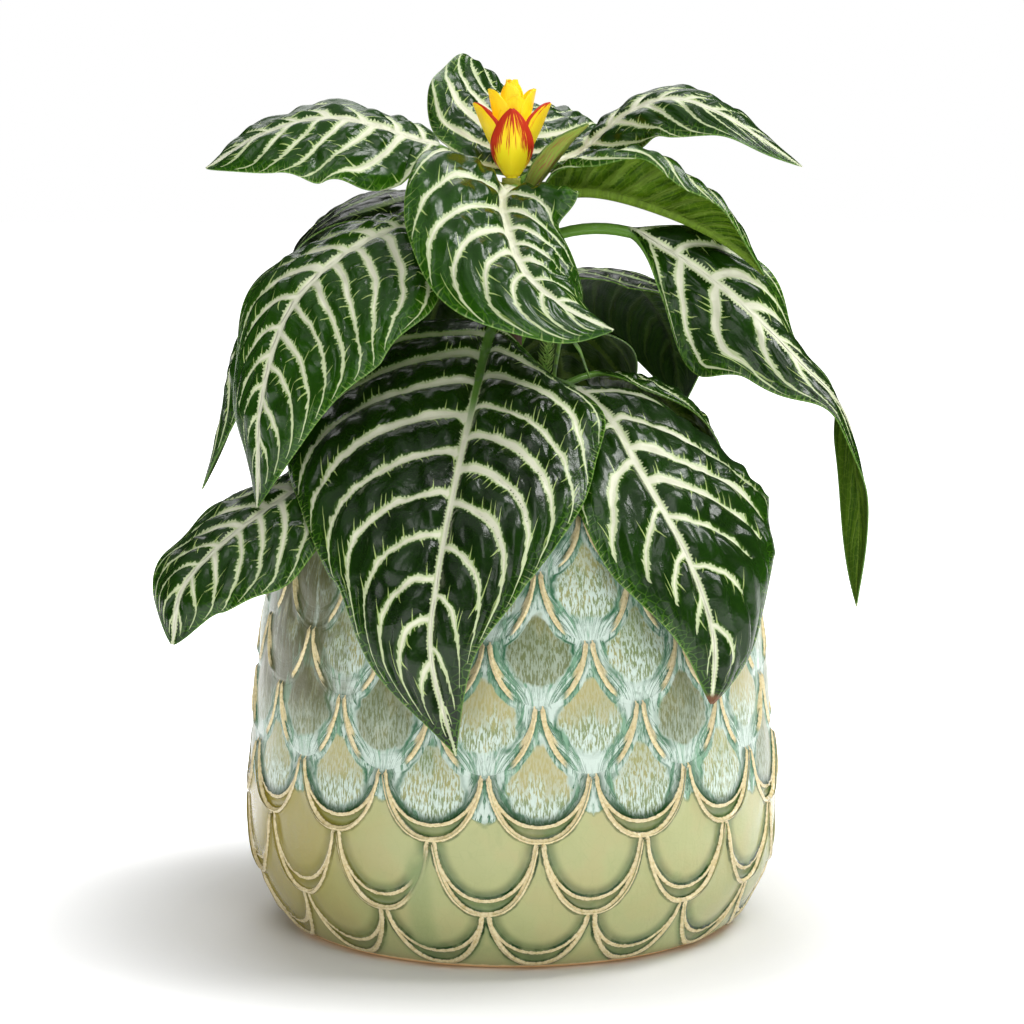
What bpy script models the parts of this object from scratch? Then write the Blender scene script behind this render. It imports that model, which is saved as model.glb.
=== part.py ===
"""A zebra plant in a scaled stoneware pot.

Run it with blender --background --python part.py, or from the text editor.
The world is in metres with +Z up. The origin is the middle of the pot's flat base and the
front of the plant looks along -Y. The sizes below are in millimetres.
"""

import math

import bmesh
import bpy
import numpy as np

MM = 0.001
GAP = 0.3  # clearance between neighbouring pieces
WELD = 1e-5  # metres; points of a turned profile this close become one

# The pot
POT_PROFILE = ((78, 0), (83, 4), (89, 14), (93.3, 25), (95, 47), (93.7, 69), (92.1, 89),
               (90.9, 103), (89.5, 113), (86, 135), (82, 152), (79, 160))  # radius, height
POT_HEIGHT = 160.0
POT_WALL = 6.0
POT_FLOOR = 8.0
POT_INNER_HEIGHTS = (14.0, 50.0, 104.0, 158.0)
POT_SIDES = 96
RIM_RISE = 2.0
RIM_ROUND = (1.0, 0.5)  # how far the rim's top edges stand in and down
FLOOR_ROUND = 5.0
FOOT_RISE = 1.2
SCALES_AROUND = 16
SCALE_FEET = (2.5, 22.7, 48.5, 71.0, 94.5, 116.0, 139.5)  # lowest point of each row's curve
SCALE_TOP = 158.0
HORN_GAP = 1.5  # from a horn's tip up to the foot of the scale over it
SCALE_TURN = math.radians(5.65)  # where the first row's scales start, round the pot
SCALE_ROUND = (2.2, 0.62)  # powers of the round foot's curve and of its steep horns
NARROW_SCALE = 4.8  # where a scale is lower than this, its ridges run together
RIDGE_RISE = 1.2
# the two ridges of a scale and what lies between and above them: how far each ring of points
# is above the scale's edge in its middle, then at its horns as a share of the gap, then its rise
SCALE_RINGS = ((0.0, 0.0, RIDGE_RISE), (2.5, 0.25, -0.1), (5.0, 0.5, 1.0), (7.6, 0.75, 0.55))

# The soil and the stem
SOIL_TOP = 143.0
SOIL_LUMP = 1.6
LUMP_WAVES = (0.21, 1.3, 0.13, 0.19, 0.7)  # waves per mm and shifts of the soil's lumps
SOIL_RINGS = (0.0, 0.14, 0.3, 0.5, 0.74, 1.0)
SOIL_SIDES = 28
SOIL_SLACK = 1.0  # the lumps stay this far inside the soil's edge, and its foot off the pot
HOLE_DEPTH = 60.0
WEED_HOLE = (1.7, 20.0)  # radius, depth
WEED_DEPTH = 14.0
HOLE_OVERSHOOT = 15.0
STEM_FOOT_RADIUS = 3.9
STEM_TOP_RADIUS = 3.2
STEM_TOP = 268.2
STEM_SIDES = 12
STEM_STEP = 7.0  # least height between two of the stem's rings
STALK_HALF_WIDTH = 1.6
STALK_THICKNESS = 2.4
STALK_TILT_GAIN = 1.5  # a stalk that slopes starts this much further from the stem
STALK_BLEND = 4  # power by which a stalk's width gives way to the blade's
STALK_FADE = 12.0  # the stalk's thickness fades out over one twelfth of the blade
BLADE_THICKNESS = 0.9
BLADE_SHAPE = (0.62, 1.0)  # powers of the outline towards the base and towards the tip
BLADE_LEAN = (0.0, 0.12, 0.0)  # how far the margins run ahead of the midrib, of the width
LEAN_POWER = 1.5
FOLD_START = 0.1  # the folds open over this part of the blade
CURL_SPOTS = 8  # places read along a half to add up its bend
WAVE_SHIFT = 1.3  # how far the right margin's waves stand off the left's
TIP_HALF_WIDTH = 0.5
TIP_CUT = 0.985  # a blade's last row, as a part of its length
BLADE_ROWS = 11
STALK_ROWS = 3
BLADE_COLUMNS = (-1.0, -0.7, -0.36, 0.0, 0.36, 0.7, 1.0)

# Each leaf: heading round the stem in degrees (0 to the front, 90 to the right), height of
# its node, the midrib's points (out, up and, where it strays, sideways), stalk length, half
# width, then how it rolls, folds (fold, curl of each half in degrees) and waves.
LEAVES = {
    "leaf_top_left": dict(
        heading=-84, node=264, stalk=28, width=31, shape=(0.5, 0.85),
        path=((20, 276), (36, 283), (65, 290), (90, 284), (109, 272)),
        roll=(-20, -12, -10), left=(0, -20), right=(-22, -22), wave=(1.5, 3)),
    "leaf_top_back": dict(
        heading=178, node=266, stalk=5, width=34, shape=(0.45, 0.75),
        path=((14, 274), (34, 286), (60, 292), (82, 287)),
        left=(0, -20), right=((20, 22, 38, 50, 45), -10), wave=(1.5, 3)),
    "leaf_crown_front": dict(
        heading=22, node=265, stalk=3, width=38, shape=(0.38, 0.85),
        path=((15, 262, -10), (33, 252, -15), (56, 238, -17), (70, 228, -9), (80, 220, 5)),
        roll=(-10, 0, -10), left=((48, 15, 0), -55), right=((40, 4, -5), (-15, -60, -50)),
        wide=(1, (1.2, 0.55, 0.88, 1, 0.9)), wave=(1.5, 3)),
    "leaf_left_front": dict(
        heading=-60, node=235, stalk=34, width=36, shape=(0.48, 0.95),
        path=((25, 250), (44, 252), (66, 244), (88, 226), (101, 195, 2), (105, 157, 6)),
        roll=(-10, -12, 0), left=(0, -20), right=(-5, -30), wide=(0.9, 1.25), wave=(1.5, 3)),
    "leaf_left_hanging": dict(
        heading=-97, node=222, stalk=36, width=24,
        path=((40, 236), (77, 228), (99, 209), (107, 180), (114, 154)),
        roll=(-30, -20, 0), left=(-8, -30), right=(-8, -30)),
    "leaf_left_back": dict(
        heading=-125, node=242, stalk=30, width=30,
        path=((30, 258), (60, 262), (88, 246), (104, 215)),
        left=(-8, -30), right=(-8, -30)),
    "leaf_low_left": dict(
        heading=-58, node=175, stalk=64, width=32, shape=(0.5, 0.8),
        path=((50, 177), (88, 163), (123, 142), (134, 130), (137, 112)),
        roll=(0, -10, -20), left=(0, -15), right=(-8, -22), wide=(0.85, (0.5, 0.9, 1, 1, 1)),
        wave=(1.5, 3)),
    "leaf_front_large": dict(
        heading=-13, node=224, stalk=13, width=56, shape=(0.4, 1.15), lean=0,
        path=((18, 215, -3), (50, 194, -2), (80, 170, -1), (102, 140, -2), (108, 115, -3),
              (108, 80, 6)),
        left=(2, -25), right=(7, -28), wave=(2, 4),
        wide=(1.22, (0.1, 0.45, 0.82, 0.86, 0.95, 0.9, 0.84, 0.84, 0.84))),
    "leaf_low_right": dict(
        heading=33, node=198, stalk=32, width=41, shape=(0.5, 0.9), lean=0.1,
        path=((28, 197, 3), (50, 189, 6), (78, 171, 2), (101, 143, 6), (109, 116, 11),
              (110, 94, 9)),
        left=((-12, -6, -4), -20), right=(-2, -24),
        wide=((0.6, 0.56, 0.72, 0.76, 0.68, 0.64), (1.3, 1.45, 1.42, 1.3, 1.2)), wave=(2, 3)),
    "leaf_low_right_back": dict(
        heading=126, node=186, stalk=36, width=27,
        path=((40, 196), (68, 188), (88, 163), (94, 135)),
        left=(-4, -24), right=(-4, -24)),
    "leaf_right_curtain": dict(
        heading=78, node=240, stalk=42, width=34, shape=(0.75, 1.1),
        path=((19, 249), (44, 249), (78, 229), (104, 205), (120, 188), (126, 163), (125, 117)),
        roll=(20, 20, -10, -90, -110), left=((-70, -70, -60, -80, -85), 15),
        right=((35, 25, 10, 10, 10), -14),
        wide=((0.7, 0.95, 0.98, 0.55, 0.38, 0.38, 0.42, 0.47, 0.5), (1.2, 0.6, 0.3, 0.4, 0.7)),
        lean=(0.4, 0.3, 0.1, 0, 0), wave=(2, 4)),
    "leaf_top_right": dict(
        heading=75, node=267, stalk=14, width=25,
        path=((21, 277, 9), (40, 292, 11), (56, 297, 8), (75, 292, 3), (105, 273)),
        roll=(40, 25, 25), left=(-15, -20), right=(-15, -20), wide=((0.55, 0.68, 0.75, 0.55, 0.5), 1),
        wave=(1.5, 3)),
    "leaf_crown_right": dict(
        heading=72, node=258, stalk=8, width=36, shape=(0.5, 0.9), lean=0,
        path=((26, 264), (57, 257), (82, 245), (93, 235)),
        left=((95, 100, 95, 60), (-170, -170, -150, -90)), bend=dict(left=2), right=(20, -35),
        wide=((0.3, 0.68, 0.8, 0.75, 0.7), 0.9), wave=(2, 3)),
    "leaf_back_right": dict(
        heading=140, node=217, stalk=30, width=34,
        path=((38, 233), (70, 229), (93, 208), (102, 178)),
        left=(-4, -24), right=(-4, -24)),
    "leaf_back_left": dict(
        heading=-160, node=215, stalk=30, width=32,
        path=((40, 232), (75, 226), (96, 200), (103, 165)),
        left=(-4, -24), right=(-4, -24)),
    "leaf_back_middle": dict(
        heading=168, node=205, stalk=32, width=34,
        path=((40, 216), (75, 208), (98, 180), (106, 145)),
        left=(-4, -24), right=(-4, -24)),
    "leaf_low_back_left": dict(
        heading=-138, node=182, stalk=36, width=33,
        path=((45, 190), (82, 178), (104, 150), (110, 118)),
        left=(-4, -24), right=(-4, -24)),
    "leaf_low_back": dict(
        heading=-172, node=172, stalk=36, width=36,
        path=((50, 178), (88, 162), (107, 132), (112, 98)),
        left=(-4, -24), right=(-4, -24)),
    "leafy_bract": dict(
        heading=52, node=261, stalk=3, width=7, shape=(0.6, 0.8), slim=1.0, full=1.2, thin=0.7,
        path=((9, 265.5), (15, 272.5), (24, 281.5), (34, 288)),
        left=(20, -20), right=(20, -20)),
}

# The flower head's pairs of bracts: facing sides, root height, how far out the middle and the
# tip stand, tip height, half width
BRACT_PAIRS = (
    ((0, 180), 269.5, 8.0, 6.5, 292.0, 9.0),
    ((-90, 90), 271.0, 8.5, 13.2, 295.3, 8.0),
    ((0, 180), 276.0, 5.0, 5.0, 296.5, 6.0),
    ((-90, 90), 278.0, 4.6, 7.7, 299.6, 5.0),
    ((0, 180), 285.0, 2.8, 2.8, 301.5, 4.0),
    ((-90, 90), 287.0, 2.0, 2.2, 303.0, 3.2),
)
BRACT_ROWS = 4
BRACT_COLUMNS = (-1.0, -0.42, 0.42, 1.0)
BRACT_THICKNESS = 0.8
CORE_RADII = (2.8, 2.9, 1.4)
CORE_HEIGHTS = (268.5, 274.0, 299.0)
CORE_SIDES = 8
BRACT_CUP = (5, 50)  # fold and curl of each half in degrees
BRACT_SHAPE = (0.42, 0.5)
BRACT_WAIST = 0.48  # where up a bract its middle point stands
BRACT_ROOT = (0.6, 1.2)  # length and half width of a bract's root

# Two small weeds in the soil beside the stem
SPRIG_FOOT = (10.0, -3.0)
SPRIG_TOP = (13.5, -3.5, 216.0)
SPRIG_NEEDLES = 13
SPRIG_NEEDLE_LENGTH = 5.0
SPRIG_PITCH = 2.3
SPRIG_THICKNESS = 0.7
SPRIG_HALF_STALK = 0.55
NEEDLE_FOOT = 0.95
NEEDLE_RISE = 0.55  # how far a needle's tip stands up, of its length
NEEDLE_SHRINK = 0.5  # the top needle is this much shorter than the lowest
WEED_FOOT = (15.4, 4.0)
WEED_PATH = ((0.2, 200), (4, 213), (8.5, 208), (13, 196))
WEED_STALK = 66.0
WEED_HALF_WIDTH = 2.6
WEED_STALK_SIZE = (0.75, 1.4)  # half width, thickness
WEED_THIN = 0.55
WEED_GRID = (5, (-1.0, 0.0, 1.0), 6)  # rows of the blade, columns, rows of the stalk

COLOURS = {
    "glazed_stoneware": ((0.55, 0.60, 0.42), 0.2),
    "potting_soil": ((0.06, 0.045, 0.03), 0.95),
    "woody_stem": ((0.10, 0.03, 0.03), 0.5),
    "zebra_leaf": ((0.02, 0.09, 0.02), 0.3),
    "flower_bract": ((0.90, 0.62, 0.02), 0.4),
    "green_bract": ((0.25, 0.33, 0.05), 0.45),
    "weed_green": ((0.20, 0.33, 0.08), 0.55),
}


def smooth_curve(points, count=240):
    """Points spaced along one smooth curve through the given ones."""
    points = np.asarray(points, float)
    steps = np.linalg.norm(np.diff(points, axis=0), axis=1) ** 0.5
    knots = np.concatenate([[0.0], np.cumsum(steps)])
    tangents = np.gradient(points, knots, axis=0)
    return hermite(points, tangents, knots, np.linspace(0, knots[-1], count))


def hermite(values, tangents, knots, at):
    """Cubic Hermite interpolation of rows of values, read at the given knots."""
    k = np.clip(np.searchsorted(knots, at, side="right") - 1, 0, len(knots) - 2)
    span = (knots[k + 1] - knots[k])[:, None]
    u = (at - knots[k])[:, None] / span
    return ((2 * u**3 - 3 * u**2 + 1) * values[k] + (u**3 - 2 * u**2 + u) * span * tangents[k]
            + (3 * u**2 - 2 * u**3) * values[k + 1] + (u**3 - u**2) * span * tangents[k + 1])


def along(values, t):
    """One value, or values at even stations from base to tip, smoothly read at t."""
    values = np.atleast_1d(np.asarray(values, float))
    if len(values) == 1:
        return np.full_like(t, values[0])
    stations = np.linspace(0, 1, len(values))
    tangents = np.gradient(values, stations)
    return hermite(values[:, None], tangents[:, None], stations, t)[:, 0]


def stem_radius(height):
    """The stem's radius in millimetres, which shrinks evenly up to its top."""
    part = (height - SOIL_TOP) / (STEM_TOP - SOIL_TOP)
    return STEM_FOOT_RADIUS + (STEM_TOP_RADIUS - STEM_FOOT_RADIUS) * part


def midrib(leaf):
    """The leaf's midrib in millimetres, with its stalk's end standing off its holder."""
    heading = math.radians(leaf["heading"])
    out = np.array((math.sin(heading), -math.cos(heading), 0.0))
    side = np.array((math.cos(heading), math.sin(heading), 0.0))
    path = [tuple(point) + (0,) * (3 - len(point)) for point in leaf["path"]]
    if "foot" in leaf:
        path.insert(0, (0.0, leaf["node"], 0.0))
    else:
        away = math.hypot(path[0][1] - leaf["node"], path[0][2])
        tilt = min(1.0, STALK_TILT_GAIN * away / math.hypot(away, path[0][0]))
        start = stem_radius(leaf["node"]) + GAP + STALK_HALF_WIDTH * tilt
        path.insert(0, (start, leaf["node"], 0.0))
    path = np.array(path, float)
    line = path[:, :1] * out + path[:, 1:2] * np.array((0, 0, 1.0)) + path[:, 2:] * side
    return smooth_curve(line + np.array((*leaf.get("foot", (0, 0)), 0.0))), side


def half_section(leaf, key, t, across, width):
    """How far each point of one half stands sideways and up from the midrib."""
    fold, curl = leaf.get(key, (0, 0))
    ramp = np.clip(t / FOLD_START, 0, 1)
    fold = np.radians(along(fold, t) * ramp)[:, None, None]
    curl = np.radians(along(curl, t) * ramp)[:, None, None]
    spots, weights = np.polynomial.legendre.leggauss(CURL_SPOTS)
    part = across[..., None] * (spots + 1) / 2
    slope = fold + curl * part ** leaf.get("bend", {}).get(key, 1)
    sideways = (np.cos(slope) * weights).sum(-1) / 2 * across * width
    upward = (np.sin(slope) * weights).sum(-1) / 2 * across * width
    return sideways, upward


def blade_points(leaf, rows, columns, stalk_rows):
    """A grid of points, rows from the stalk's foot to the tip and columns across."""
    line, side = midrib(leaf)
    lengths = np.linalg.norm(np.diff(line, axis=0), axis=1)
    run = np.concatenate([[0.0], np.cumsum(lengths)])
    start = leaf["stalk"] / run[-1]
    s = np.concatenate([np.linspace(0, start, stalk_rows + 1)[:-1],
                        np.linspace(start, start + (1 - start) * TIP_CUT, rows + 1)])
    t = np.clip((s - start) / (1 - start), 0, 1)
    slopes = np.gradient(line, run, axis=0)
    middle = np.stack([np.interp(s * run[-1], run, line[:, i]) for i in range(3)], -1)
    ahead = np.stack([np.interp(s * run[-1], run, slopes[:, i]) for i in range(3)], -1)
    ahead /= np.linalg.norm(ahead, axis=1)[:, None]
    across = side - (ahead @ side)[:, None] * ahead
    across /= np.linalg.norm(across, axis=1)[:, None]
    upper = np.cross(ahead, across)
    roll = np.radians(along(leaf.get("roll", 0), t))[:, None]
    across, upper = (np.cos(roll) * across + np.sin(roll) * upper,
                     np.cos(roll) * upper - np.sin(roll) * across)
    rise, fall = leaf.get("shape", BLADE_SHAPE)
    peak = rise / (rise + fall)
    width = leaf["width"] * (t / peak) ** rise * ((1 - t) / (1 - peak)) ** fall
    slim = leaf.get("slim", STALK_HALF_WIDTH)
    height, count = leaf.get("wave", (0, 3))
    reach = np.abs(columns)[None, :]
    points = np.zeros((len(s), len(columns), 3))
    for key, sign in (("left", -1), ("right", 1)):
        factor = leaf.get("wide", (1, 1))[sign > 0]
        spread = np.maximum(width * along(factor, t), slim * (1 - t) ** STALK_BLEND)
        spread = np.maximum(spread, TIP_HALF_WIDTH)[:, None]
        sideways, upward = half_section(leaf, key, t, reach, spread)
        turn = 2 * math.pi * count * t[:, None] + (WAVE_SHIFT if sign > 0 else 0.0)
        upward = upward + height * width[:, None] / leaf["width"] * reach**2 * np.sin(turn)
        lean = along(leaf.get("lean", BLADE_LEAN), t)[:, None] * reach**LEAN_POWER * spread
        half = (middle[:, None] + sign * sideways[..., None] * across[:, None]
                + upward[..., None] * upper[:, None] + lean[..., None] * ahead[:, None])
        mine = np.asarray(columns) * sign >= 0
        points[:, mine] = half[:, mine]
    return points, t


def blade_object(name, leaf, material, rows=BLADE_ROWS, columns=BLADE_COLUMNS,
                 stalk_rows=STALK_ROWS):
    """A leaf: a grid bent along its midrib, split in triangles and given its thickness."""
    points, t = blade_points(leaf, rows, np.array(columns), stalk_rows)
    count, width = points.shape[:2]
    thin = leaf.get("thin", BLADE_THICKNESS / STALK_THICKNESS)
    weights = thin + (1 - thin) * np.clip(1 - t * STALK_FADE, 0, 1)
    grid = bmesh.new()
    bmesh.ops.create_grid(grid, x_segments=count - 1, y_segments=width - 1, size=1)
    row_of = []
    for vertex in grid.verts:
        row = round((vertex.co.x + 1) / 2 * (count - 1))
        column = round((vertex.co.y + 1) / 2 * (width - 1))
        vertex.co = points[row, column] * MM
        row_of.append(row)
    bmesh.ops.triangulate(grid, faces=grid.faces, quad_method="SHORT_EDGE")
    mesh = bpy.data.meshes.new(name)
    grid.to_mesh(mesh)
    grid.free()
    made = place(name, mesh, material)
    group = made.vertex_groups.new(name="thickness")
    for index, row in enumerate(row_of):
        group.add([index], float(weights[row]), "REPLACE")
    solidify = made.modifiers.new("Thickness", "SOLIDIFY")
    solidify.thickness = leaf.get("full", STALK_THICKNESS) * MM
    solidify.offset = 0
    solidify.vertex_group = group.name
    return made


def material_of(name):
    """The Principled BSDF material of that name, made once."""
    if name in bpy.data.materials:
        return bpy.data.materials[name]
    material = bpy.data.materials.new(name)
    material.use_nodes = True
    colour, roughness = COLOURS[name]
    shader = material.node_tree.nodes["Principled BSDF"]
    shader.inputs["Base Color"].default_value = (*colour, 1.0)
    shader.inputs["Roughness"].default_value = roughness
    shader.inputs["Metallic"].default_value = 0.0
    return material


def place(name, data, material):
    """An object with this mesh or curve, in the plant's collection."""
    made = bpy.data.objects.new(name, data)
    data.materials.append(material_of(material))
    bpy.data.collections["potted_zebra_plant"].objects.link(made)
    return made


def evaluated_copy(name, source, material):
    """Replaces an object by a new one that holds its evaluated mesh."""
    bpy.context.view_layer.update()
    graph = bpy.context.evaluated_depsgraph_get()
    mesh = bpy.data.meshes.new_from_object(source.evaluated_get(graph))
    mesh.materials.clear()
    bpy.data.objects.remove(source)
    mesh.name = name
    return place(name, mesh, material)


def turned(name, profile, sides, material, turn=0.0):
    """A profile of (radius, height) turned round the Z axis, applied to a mesh."""
    mesh = bpy.data.meshes.new(name + "_profile")
    spots = [(r * math.sin(turn) * MM, -r * math.cos(turn) * MM, z * MM) for r, z in profile]
    mesh.from_pydata(spots, [(i, i + 1) for i in range(len(spots) - 1)], [])
    drawn = place(name + "_profile", mesh, material)
    screw = drawn.modifiers.new("Turn", "SCREW")
    screw.steps = screw.render_steps = sides
    screw.use_merge_vertices = True
    screw.merge_threshold = WELD
    made = evaluated_copy(name, drawn, material)
    made.data.shade_smooth()
    return made


def mesh_points(mesh):
    """The mesh's points in millimetres."""
    points = np.empty(len(mesh.vertices) * 3)
    mesh.vertices.foreach_get("co", points)
    return points.reshape(-1, 3) / MM


def move_points(mesh, points):
    """Puts points in millimetres back into the mesh."""
    mesh.vertices.foreach_set("co", (points * MM).ravel())
    mesh.update()


def pot_radius(height):
    """The pot's outer radius at a height, without its scales."""
    radii, heights = np.array(POT_PROFILE, float).T
    curve = smooth_curve(np.stack([radii, heights], -1))
    return np.interp(height, curve[:, 1], curve[:, 0])


def inner_radius(height):
    """The radius of the pot's inside, straight between a few rings."""
    rings = np.array(POT_INNER_HEIGHTS)
    return np.interp(height, rings, pot_radius(rings) - POT_WALL)


def scale_arc(row, angle):
    """How far up its rise a row's scalloped edge is: 0 at the round feet, 1 at the horns."""
    pitch = 2 * math.pi / SCALES_AROUND
    middle = SCALE_TURN + (row % 2) * pitch / 2
    across = np.abs((angle - middle + pitch / 2) % pitch - pitch / 2) / (pitch / 2)
    return 1 - (1 - np.clip(across, 0, 1) ** SCALE_ROUND[0]) ** SCALE_ROUND[1]


def scale_curve(row, angle):
    """Height of a row's scalloped lower edge."""
    if row < 0:
        return np.full_like(angle, FOOT_RISE)
    if row >= len(SCALE_FEET):
        return np.full_like(angle, SCALE_TOP)
    above = (*SCALE_FEET, SCALE_TOP)[row + 1]
    return SCALE_FEET[row] + (above - HORN_GAP - SCALE_FEET[row]) * scale_arc(row, angle)


def scaled_surface(angle, level):
    """Radius and height of the scaled wall: level counts the rows of scales upwards."""
    step = np.rint(level * len(SCALE_RINGS)).astype(int)
    row, ring = np.divmod(step, len(SCALE_RINGS))
    lift, share, relief = np.array(SCALE_RINGS)[ring].T
    low = np.zeros_like(angle)
    high = np.zeros_like(angle)
    for each in np.unique(row):
        mine = row == each
        low[mine] = scale_curve(each, angle[mine])
        high[mine] = scale_curve(each + 1, angle[mine])
    arc = scale_arc(row, angle)
    height = low + lift * (1 - arc) + share * HORN_GAP * arc
    narrow = np.clip(1 - (high - low) / NARROW_SCALE, 0, 1)
    relief = np.maximum(relief, RIDGE_RISE * narrow)
    scaled = (row >= 0) & (row < len(SCALE_FEET))
    return pot_radius(height) + relief * scaled, height


def pot():
    """The stoneware pot: a turned wall whose outside is raised into rows of scales."""
    levels = [-1, *np.arange(0, len(SCALE_FEET), 1 / len(SCALE_RINGS))]
    marks = np.array((FOOT_RISE, *SCALE_FEET, SCALE_TOP))
    counts = np.arange(-1, len(SCALE_FEET) + 1)
    outer = [(pot_radius(z), z) for z in np.interp(levels, counts, marks)]
    top = POT_HEIGHT - RIM_RISE
    mouth = pot_radius(top)
    inner = [(inner_radius(z), z) for z in POT_INNER_HEIGHTS]
    inset, drop = RIM_ROUND
    rim = [(mouth - POT_WALL + inset, POT_HEIGHT - drop), (mouth - POT_WALL / 2, POT_HEIGHT),
           (mouth - inset, POT_HEIGHT - drop), (mouth, top)]
    floor = [(0, POT_FLOOR), (inner[0][0] - FLOOR_ROUND, POT_FLOOR)]
    base = [(POT_PROFILE[0][0], 0), (0, 0)]
    made = turned("pot", floor + inner + rim + outer[::-1] + base, POT_SIDES,
                  "glazed_stoneware", SCALE_TURN)
    points = mesh_points(made.data)
    radius = np.hypot(points[:, 0], points[:, 1])
    angle = np.arctan2(points[:, 0], -points[:, 1])
    wall = (radius > pot_radius(points[:, 2]) - POT_WALL / 3) & (points[:, 2] > FOOT_RISE / 2)
    wall &= points[:, 2] < top - RIM_RISE / 4
    level = np.interp(points[wall, 2], marks, counts)
    radius[wall], points[wall, 2] = scaled_surface(angle[wall], level)
    points[:, 0] = radius * np.sin(angle)
    points[:, 1] = -radius * np.cos(angle)
    move_points(made.data, points)
    return made


def cutter(name, spot, radius, foot, top):
    """An upright cylinder that cuts a plain hole."""
    bpy.ops.mesh.primitive_cylinder_add(
        vertices=STEM_SIDES, radius=radius * MM, depth=(top - foot) * MM,
        location=(spot[0] * MM, spot[1] * MM, (foot + top) / 2 * MM))
    made = bpy.context.object
    made.name = name
    for collection in list(made.users_collection):
        collection.objects.unlink(made)
    bpy.data.collections["cutters"].objects.link(made)
    made.hide_render = True
    made.display_type = "WIRE"
    return made


def soil():
    """The potting soil that fills the pot, lumpy on top, with a plain hole for each stem."""
    foot = POT_FLOOR + GAP
    edge = inner_radius(SOIL_TOP) - 2 * GAP
    top = [(edge * part, SOIL_TOP) for part in SOIL_RINGS]
    side = [(inner_radius(z) - 2 * GAP, z) for z in POT_INNER_HEIGHTS[-2::-1]]
    floor = [(side[-1][0] - FLOOR_ROUND - SOIL_SLACK, foot), (0, foot)]
    made = turned("soil", top + side + floor, SOIL_SIDES, "potting_soil")
    points = mesh_points(made.data)
    upper = points[:, 2] > SOIL_TOP - SOIL_SLACK
    upper &= np.hypot(points[:, 0], points[:, 1]) < edge - SOIL_SLACK
    x, y = points[upper, 0], points[upper, 1]
    wide, sway, slow, deep, shift = LUMP_WAVES
    lumps = np.sin(x * wide + sway * np.sin(y * slow)) * np.cos(y * deep + shift)
    points[upper, 2] += SOIL_LUMP * lumps
    move_points(made.data, points)
    holes = (("stem", (0, 0), STEM_FOOT_RADIUS + 2 * GAP, HOLE_DEPTH),
             ("sprig", SPRIG_FOOT, *WEED_HOLE), ("weed", WEED_FOOT, *WEED_HOLE))
    for label, spot, radius, depth in holes:
        cut = made.modifiers.new(f"Hole for {label}", "BOOLEAN")
        cut.operation = "DIFFERENCE"
        cut.object = cutter(
            f"{label}_hole", spot, radius, SOIL_TOP - depth, SOIL_TOP + HOLE_OVERSHOOT)
    return made


def stem():
    """The woody stem, a straight tube that narrows upwards, with a ring at each leaf's node."""
    nodes = sorted(leaf["node"] for leaf in LEAVES.values())
    heights = [SOIL_TOP - HOLE_DEPTH + GAP, SOIL_TOP]
    heights += [z for z in nodes if z - heights[-1] > STEM_STEP] + [STEM_TOP]
    line = bpy.data.curves.new("stem_line", "CURVE")
    line.dimensions = "3D"
    line.use_fill_caps = True
    line.bevel_depth = MM
    line.bevel_resolution = 4
    spline = line.splines.new("POLY")
    spline.points.add(len(heights) - 1)
    for point, height in zip(spline.points, heights):
        point.co = (0, 0, height * MM, 1)
        point.radius = stem_radius(max(height, SOIL_TOP))
    return place("stem", line, "woody_stem")


def bract(heading, root, middle_out, tip_out, tip, half_width):
    """One bract of the flower head, cupped towards the axis, its root in the core."""
    shape = dict(
        heading=heading, node=root, foot=(0, 0), stalk=BRACT_ROOT[0], width=half_width,
        path=((middle_out, root + (tip - root) * BRACT_WAIST), (tip_out, tip)),
        left=BRACT_CUP, right=BRACT_CUP, shape=BRACT_SHAPE, lean=0, slim=BRACT_ROOT[1],
        full=BRACT_THICKNESS, thin=1.0)
    return blade_object("bract", shape, "flower_bract", BRACT_ROWS, BRACT_COLUMNS, 1)


def flower_head():
    """The flower head: pairs of bracts, each pair turned from the last, on a slim core."""
    core = turned("core", [(0, CORE_HEIGHTS[2]), *zip(CORE_RADII[::-1], CORE_HEIGHTS[::-1]),
                           (0, CORE_HEIGHTS[0])], CORE_SIDES, "flower_bract")
    bracts = bpy.data.collections.new("bracts")
    bpy.context.scene.collection.children.link(bracts)
    for headings, *sizes in BRACT_PAIRS:
        for heading in headings:
            made = bract(heading, *sizes)
            bpy.data.collections["potted_zebra_plant"].objects.unlink(made)
            bracts.objects.link(made)
    join = core.modifiers.new("Bracts", "BOOLEAN")
    join.operation = "UNION"
    join.operand_type = "COLLECTION"
    join.collection = bracts
    made = evaluated_copy("flower_head", core, "flower_bract")
    for helper in list(bracts.objects):
        bpy.data.objects.remove(helper)
    bpy.data.collections.remove(bracts)
    return made


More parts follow.
